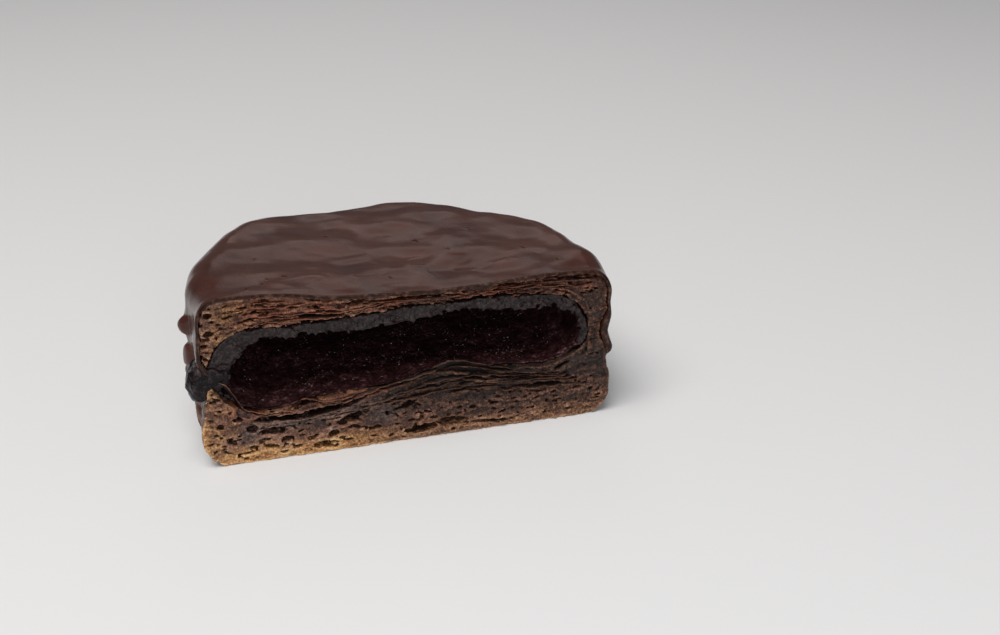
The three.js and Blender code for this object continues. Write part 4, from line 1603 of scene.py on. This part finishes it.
@dataclass
class PasteLining:
    """The chocolate paste: a torn band at the cut, the lining behind it, and the leak."""

    ceiling: float = 2.9
    floor: float = 0.9
    left_wall: float = 4.6
    gap: float = 0.28
    slab: float = 4.6
    lining_front: float = 3.4
    tension: float = 3.0
    # The drops of the leak: the middle's x, y and z, then the half sizes along them.
    leak: tuple = (
        (-45.6, 3.8, 21.4, 3.6, 4.8, 3.3), (-46.8, 3.4, 19.6, 2.9, 3.9, 3.0),
        (-47.2, 3.1, 17.8, 2.1, 2.8, 2.3), (-43.4, 2.9, 21.7, 3.6, 3.2, 2.1),
    )

    def leak_field(self, x: Array, y: Array, z: Array) -> Array:
        """Tell how deep a point lies in the leaked paste, whose drops flow together.

        Args:
            x: along the cut.
            y: behind the cut.
            z: height.

        Returns:
            A distance, positive inside.
        """
        total = np.zeros(x.shape, np.float32)
        for cx, cy, cz, rx, ry, rz in self.leak:
            q = np.sqrt(((x - cx) / rx) ** 2 + ((y - cy) / ry) ** 2 + ((z - cz) / rz) ** 2)
            total += np.exp(self.tension * (1 - q) * min(rx, ry, rz))
        return np.log(total) / self.tension - 0.15

    def pocket(self, x: Array, y: Array, z: Array, gap: float) -> Array:
        """Return how deep a point lies in the pocket of the paste, which is wider at the left."""
        left = smooth_step(31, 39, -x) * smooth_step(21, 24, z) * smooth_step(6, 3, y)
        return FORM.hollow(x, y, z, gap - 0.5 * left, gap, gap - 0.9 * left).astype(np.float32)

    def dress_band(self, finish: bpy.types.Material) -> None:
        """Mesh the torn band at the cut, ragged towards the hollow.

        Args:
            finish: the paste's material.
        """
        grid = Grid(low=(-50.5, -0.9, 9.0), high=(46.0, 9.4, 34.0), step=(0.26, 0.3, 0.22))
        x, y, z = grid.points()
        lump, fine = Grain(21), Grain(22)
        ragged = 0.8 * lump(x / 2.2, y / 2.6, z / 1.6) + 0.6 * fine(x / 0.8, y / 0.9, z / 0.7)
        thick = self.ceiling - 0.5 * bell((x + 27) / 8) + 0.6 * smooth_step(-24, -8, x) + ragged
        thick = thick - 1.5 * bell((x - 11) / 8) - 0.7 * bell((x - 33) / 6)
        outside = self.pocket(x, y, z, 0.1)
        uneven = 0.3 * lump(x / 2.4, y / 3, z / 2.4 + 5) + 0.16 * fine(x / 0.9, y, z / 0.9 + 3)
        outside += uneven - 0.18
        wall = mix(1.2, self.left_wall, smooth_step(17, 21, z)) * smooth_step(30, 38, -x)
        wall = np.maximum(wall, 1.9 * (x > 0)) + 1.2 * ragged
        floor = self.gap + 0.15 + 0.2 * ragged
        void = FORM.hollow(x, y, z, thick, floor, wall).astype(np.float32)
        lining = np.minimum(outside, -void)
        floor_back = 2.4 * smooth_step(-18.5, -15.5, -z)
        front = 0.8 + floor_back + 0.55 * lump(x / 3, y, z / 2 + 7) + 0.4 * fine(x / 0.9, y, z / 0.8)
        lining = np.minimum(np.minimum(lining, y - front), self.slab - y)
        solid = bordered(lining + 0.12 * fine(x / 0.6, y / 0.6, z / 0.5))
        points, quads = surface_net(solid.astype(np.float32), grid)
        torn = mesh_piece("torn_paste", points, quads, finish, Node.FILLING)
        x, y, z = points.T
        pinch = smooth_step(33, 37, -x)
        cut = smooth_step(-3.0, -1.2, -y) * smooth_step(0, 3, z - mix(17, 22, pinch))
        neck = smooth_step(37, 41, -x) * smooth_step(25.5, 22, z)
        put_attribute(torn, "cut", np.maximum(cut, 0.6 * pinch))
        put_attribute(torn, "neck", 0.75 * neck)

    def dress_leak(self, finish: bpy.types.Material) -> None:
        """Mesh the paste that has leaked out at the left, a closed lump that meets the band.

        Args:
            finish: the leaked paste's material.
        """
        grid = Grid(low=(-50.9, -0.9, 13.0), high=(-38.5, 9.9, 27.0), step=(0.2, 0.22, 0.2))
        x, y, z = grid.points()
        lump, fine = Grain(23), Grain(24)
        solid = self.leak_field(x, y, z) + 0.34 * lump(x / 2.1, y / 2.1, z / 1.8)
        solid = solid + 0.24 * fine(x / 1.1, y / 1.1, z / 0.9)
        solid = np.minimum(solid, y - 0.15 - 0.3 * np.abs(fine(x / 1.2, y, z / 1.2)))
        points, quads = surface_net(solid.astype(np.float32), grid)
        mesh_piece("leaked_paste", points, quads, finish, Node.FILLING)

    def dress_lining(self, finish: bpy.types.Material) -> bpy.types.Object:
        """Make the lumpy lining behind the band.

        Args:
            finish: the paste's material.

        Returns:
            The lining.
        """
        sheet, shell = Sheet(turns=200, steps=150), RoundShell(self.lining_front)
        turn, share = sheet.coordinates()
        outer = shell.hollow(turn, share, *[self.gap + 0.1] * 3)
        lump, fine = Grain(41), Grain(42)
        x, y, z = np.moveaxis(outer, -1, 0)
        bumps = 0.5 * lump(x / 3.2, y / 3.2, z / 2) + 0.3 * fine(x / 1.2, y / 1.2, z / 1.2)
        bumps = bumps * smooth_step(0, 0.04, share) * smooth_step(0, 0.04, 1 - share)
        deeper = smooth_step(self.lining_front, 10, y)
        floor = self.gap + 0.2 + deeper * (self.floor - 0.2 + 0.6 * bumps)
        rim = mix(1.2, self.ceiling * 0.9, deeper)
        inner = shell.hollow(turn, share, self.ceiling + bumps, floor, rim)
        points, faces, _ = welded(*sheet.close(outer, inner))
        lining = mesh_piece("paste_lining", points, faces, finish, Node.FILLING)
        x, y, z = points.T
        put_attribute(lining, "cut", np.zeros(len(x)))
        patchy = np.clip(0.35 + 0.9 * lump(x / 5, y / 5, 0.5), 0, 1)
        outward = FORM.hollow(x, y, z, *[self.gap + 0.4] * 3) > 0
        put_attribute(lining, "strew", patchy * smooth_step(-20, -17, -z) * outward)
        return lining


@dataclass
class Coat:
    """The chocolate coat over the top and down the rim, with drips, beads and pits."""

    gap: float = 0.15
    thick: float = 1.7
    edge_z: float = 16.0
    edge_wave: float = 3.2
    bay: float = 7.0
    bay_at: float = -18.0
    bay_half: float = 12.0
    lip: float = 0.4
    # The last share of the section, over which the coat runs out to a thin edge.
    hem: float = 0.045
    hem_thick: float = 0.35
    thinner: float = 0.9
    corner_hole: tuple = (-45.2, 36.2)
    # The beads: angle from the left end, height over the coat's edge, radius, reach outwards.
    beads: tuple = (
        (3, 12.9, 1.9, 1.5), (2, 5.1, 2.5, 1.9), (42, 1.3, 1.9, 1.0), (124, 1.1, 2.0, 1.0),
        (152, 1.3, 1.8, 0.9),
    )
    # The pits in the top, left by bubbles: x, y and radius.
    pits: tuple = (
        (-30.8, 23.3, 0.32), (-26.1, 11.1, 0.38), (-15.8, 18.7, 0.32), (-35.4, 3.9, 0.34),
        (-30.0, 9.9, 0.26), (-31.6, 6.8, 0.2), (8.0, 30.0, 0.42), (14.0, 22.0, 0.3), (22.0, 34.0, 0.36),
        (31.0, 18.0, 0.42), (2.0, 43.0, 0.3), (-12.0, 36.0, 0.3), (36.0, 8.0, 0.3), (-3.0, 9.0, 0.22),
    )

    def lower_edge(self, angle: Array) -> Array:
        """Return the height of the coat's lower edge at each angle."""
        drips = self.edge_wave * (wave(angle / 9, 0, 21) + 0.6 * wave(angle / 4.3, 0, 22))
        return self.edge_z + drips + self.bay * bell(turn_from(self.bay_at, angle) / self.bay_half)

    def relief(self, plain: Array, share: Array) -> Array:
        """Return how far waves, beads and pits move the outer surface.

        Args:
            plain: the plain outer surface.
            share: where along its section each point lies.

        Returns:
            The offset outwards in millimetres.
        """
        x, y, z = np.moveaxis(plain, -1, 0)
        bent = 0.6 * wave(x / 9, y / 9, 52)
        out = 0.26 * wave(x / 9 + bent, y / 7 - bent, 51) + 0.1 * wave(x / 4 + bent, y / 3.4, 53)
        ridges = 1 - np.abs(wave(x / 5.5 + bent, y / 4.5 + bent, 54)) * 2.5
        patch = bell((x - 2) / 22) * bell((y - 14) / 9) + 0.6 * bell((x + 22) / 9) * bell((y - 12) / 6)
        out = (out + 0.12 * smooth_step(0, 1, ridges) * patch) * smooth_step(0.3, 3.5, y)
        here, _ = FORM.polar(x, y)
        for at, above, radius, high in self.beads:
            around = np.radians(turn_from(at, here)) * FORM.disc_radius
            away = np.hypot(around, (z - self.lower_edge(at) - above) / 1.2) / radius
            out = out + high * np.sqrt(1 - np.clip(away, 0, 1) ** 2) * (share > 0.5)
        out = out - 0.5 * np.clip(wave(here / 4.3, 0, 22), -1, 0) * smooth_step(0.72, 0.95, share)
        for px, py, radius in self.pits:
            away = np.hypot(x - px, y - py) / radius
            ring = 0.14 * bell((away - 1.7) / 0.55) - 0.8 * bell(away / 0.8)
            out = out + np.where(share < 0.7, ring, 0)
        return out

    def dress(self, finish: bpy.types.Material) -> None:
        """Build the closed coat and mark its cut edge for the material.

        Args:
            finish: the coat's material.
        """
        sheet, shell = Sheet(turns=220, steps=190), RoundShell(front=0.0)
        turn, share = sheet.coordinates()
        turn = mix(turn, 90 - 90 * np.cos(np.radians(turn)), 0.6)
        rim = shell.ray(turn, lambda a: FORM.outline(a) - FORM.lean / 2)
        angle, _ = FORM.polar(*rim)
        side_top = FORM.top(*rim) - FORM.top_round
        low = mix(ROUND_END, SIDE_END, even_step(side_top, FORM.foot_height, self.lower_edge(angle)))
        plain = shell.skin(turn, share, np.full_like(turn, self.thick), low)
        x, y, z = np.moveaxis(plain, -1, 0)
        out = self.gap + self.thick + self.relief(plain, share)
        soft = even_step(self.lip, 0, y)
        out = out - self.lip * (1 - np.sqrt(1 - 0.98 * soft ** 2))
        thin = even_step(1 - self.hem, 1, share)
        out = out - (out - self.hem_thick) * (1 - np.sqrt(1 - thin ** 2))
        outer = shell.skin(turn, share, out, low)
        at_cut = smooth_step(3.5, 0.8, y) * smooth_step(23.5, 26.5, z)
        at_cut = at_cut * (1 + 0.3 * wave(x / 2.4, z / 1.9, 77))
        inner = shell.skin(turn, share, self.gap + self.thinner * at_cut, low)
        rough = Grain(61)

        def cut(band: Array) -> Array:
            """Set the cut face back unevenly, with a small hole in its left corner.

            Args:
                band: its points, except those on the edges.

            Returns:
                The moved points.
            """
            moved = band.copy()
            x, _, z = np.moveaxis(band, -1, 0)
            moved[..., 1] += 0.06 + 0.12 * rough(x / 1.4, 0 * x, z / 1.1)
            away = np.hypot((x - self.corner_hole[0]) / 0.6, (z - self.corner_hole[1]) / 0.8)
            moved[..., 1] += 1.6 * smooth_step(-1.0, -0.6, -away)
            return moved

        points, faces, _ = welded(*sheet.close(outer, inner, across=5, lip=True, cut=cut))
        piece = mesh_piece("chocolate_coat", points, faces, finish, Node.COATING)
        put_attribute(piece, "cut", smooth_step(-0.5, -0.15, -points[:, 1]))


# ---- The studio ----


@dataclass(frozen=True)
class SoftLight:
    """A soft square light: its place and side in metres, its power in watts and its colour."""

    name: str
    at: tuple
    side: float
    power: float
    colour: str

    def build(self, aim: Sequence[float]) -> None:
        """Add the light to the scene.

        Args:
            aim: the place that it looks at.
        """
        light = bpy.data.lights.new(self.name, "AREA")
        light.size = self.side
        light.energy = self.power
        light.color = linear(self.colour)[:3]
        lamp = place(self.name, light)
        lamp.location = self.at
        lamp.rotation_euler = (Vector(aim) - Vector(self.at)).to_track_quat("-Z", "Y").to_euler()


@dataclass
class Studio:
    """A pale floor, soft lights and the photograph's camera."""

    floor_side: float = 6.0
    floor_colour: str = "#d8dce1"
    air_colour: str = "#ece8e8"
    air_strength: float = 0.165
    aim: tuple = (0.0, 0.0, 0.015)
    lights: tuple = (
        SoftLight("key_overhead", (-0.36, -0.33, 1.12), 0.85, 15.0, "#fff8f0"),
        SoftLight("window_behind", (0.17, 0.62, 0.44), 0.3, 0.22, "#fff4f0"),
        SoftLight("fill_front", (-0.10, -0.68, 0.24), 0.4, 2.0, "#ffffff"),
    )

    def build(self) -> None:
        """Build floor, lights, world and camera."""
        bpy.ops.mesh.primitive_plane_add(size=self.floor_side)
        floor = bpy.context.object
        floor.name = "floor"
        r = Recipe("matt_pale_floor")
        floor.data.materials.append(r.finish({"Base Color": linear(self.floor_colour), "Roughness": 0.8}))
        for light in self.lights:
            light.build(self.aim)
        world = bpy.data.worlds.new("studio_air")
        world.use_nodes = True
        air = world.node_tree.nodes["Background"].inputs
        air["Color"].default_value = linear(self.air_colour)
        air["Strength"].default_value = self.air_strength
        bpy.context.scene.world = world
        bpy.context.scene.view_settings.view_transform = "Standard"
        self.camera()

    def camera(self) -> None:
        """Set the camera where the photograph was taken."""
        data = bpy.data.cameras.new("photo_camera")
        data.sensor_width = SENSOR_MM
        data.lens = FOCAL_PX / IMAGE_WIDTH_PX * SENSOR_MM
        data.clip_start = 0.01
        camera = place("photo_camera", data)
        camera.location = to_frame(np.array(CAMERA_AT))
        camera.rotation_euler = Euler((math.radians(90 - CAMERA_PITCH), 0, math.radians(-CAMERA_YAW)))
        bpy.context.scene.camera = camera


def main() -> None:
    """Build and dress every piece in order."""
    logging.basicConfig(level=logging.INFO, format="%(message)s")
    Studio().build()
    dough, paste = LaminatedCrumb().material(), CocoaPaste().material()
    face = CutFace()
    filling = PasteLining()
    face.build(filling)
    slabs = face.dress(dough)
    face.dress_flakes(dough)
    crumbs = Scatter("strewn_crumbs", dough, flatness=0.45)
    for number, slab in enumerate(slabs):
        name = "loose_crumbs_%d" % (number + 1)
        crumbs.strew(name, slab, per_cm2=260, sizes=(0.07, 0.24), seed=11 + number, node=Node.PASTRY)
    OuterCrust().dress(BakedCrust().material())
    filling.dress_band(paste)
    filling.dress_leak(LeakedPaste().material())
    lining = filling.dress_lining(paste)
    grains = Scatter("strewn_sugar", SugarGrain().material(), flatness=0.7)
    grains.strew("sugar_grains", lining, per_cm2=90, sizes=(0.08, 0.3), seed=31, node=Node.FILLING)
    Coat().dress(ChocolateCoat().material())


if __name__ == "__main__":
    main()
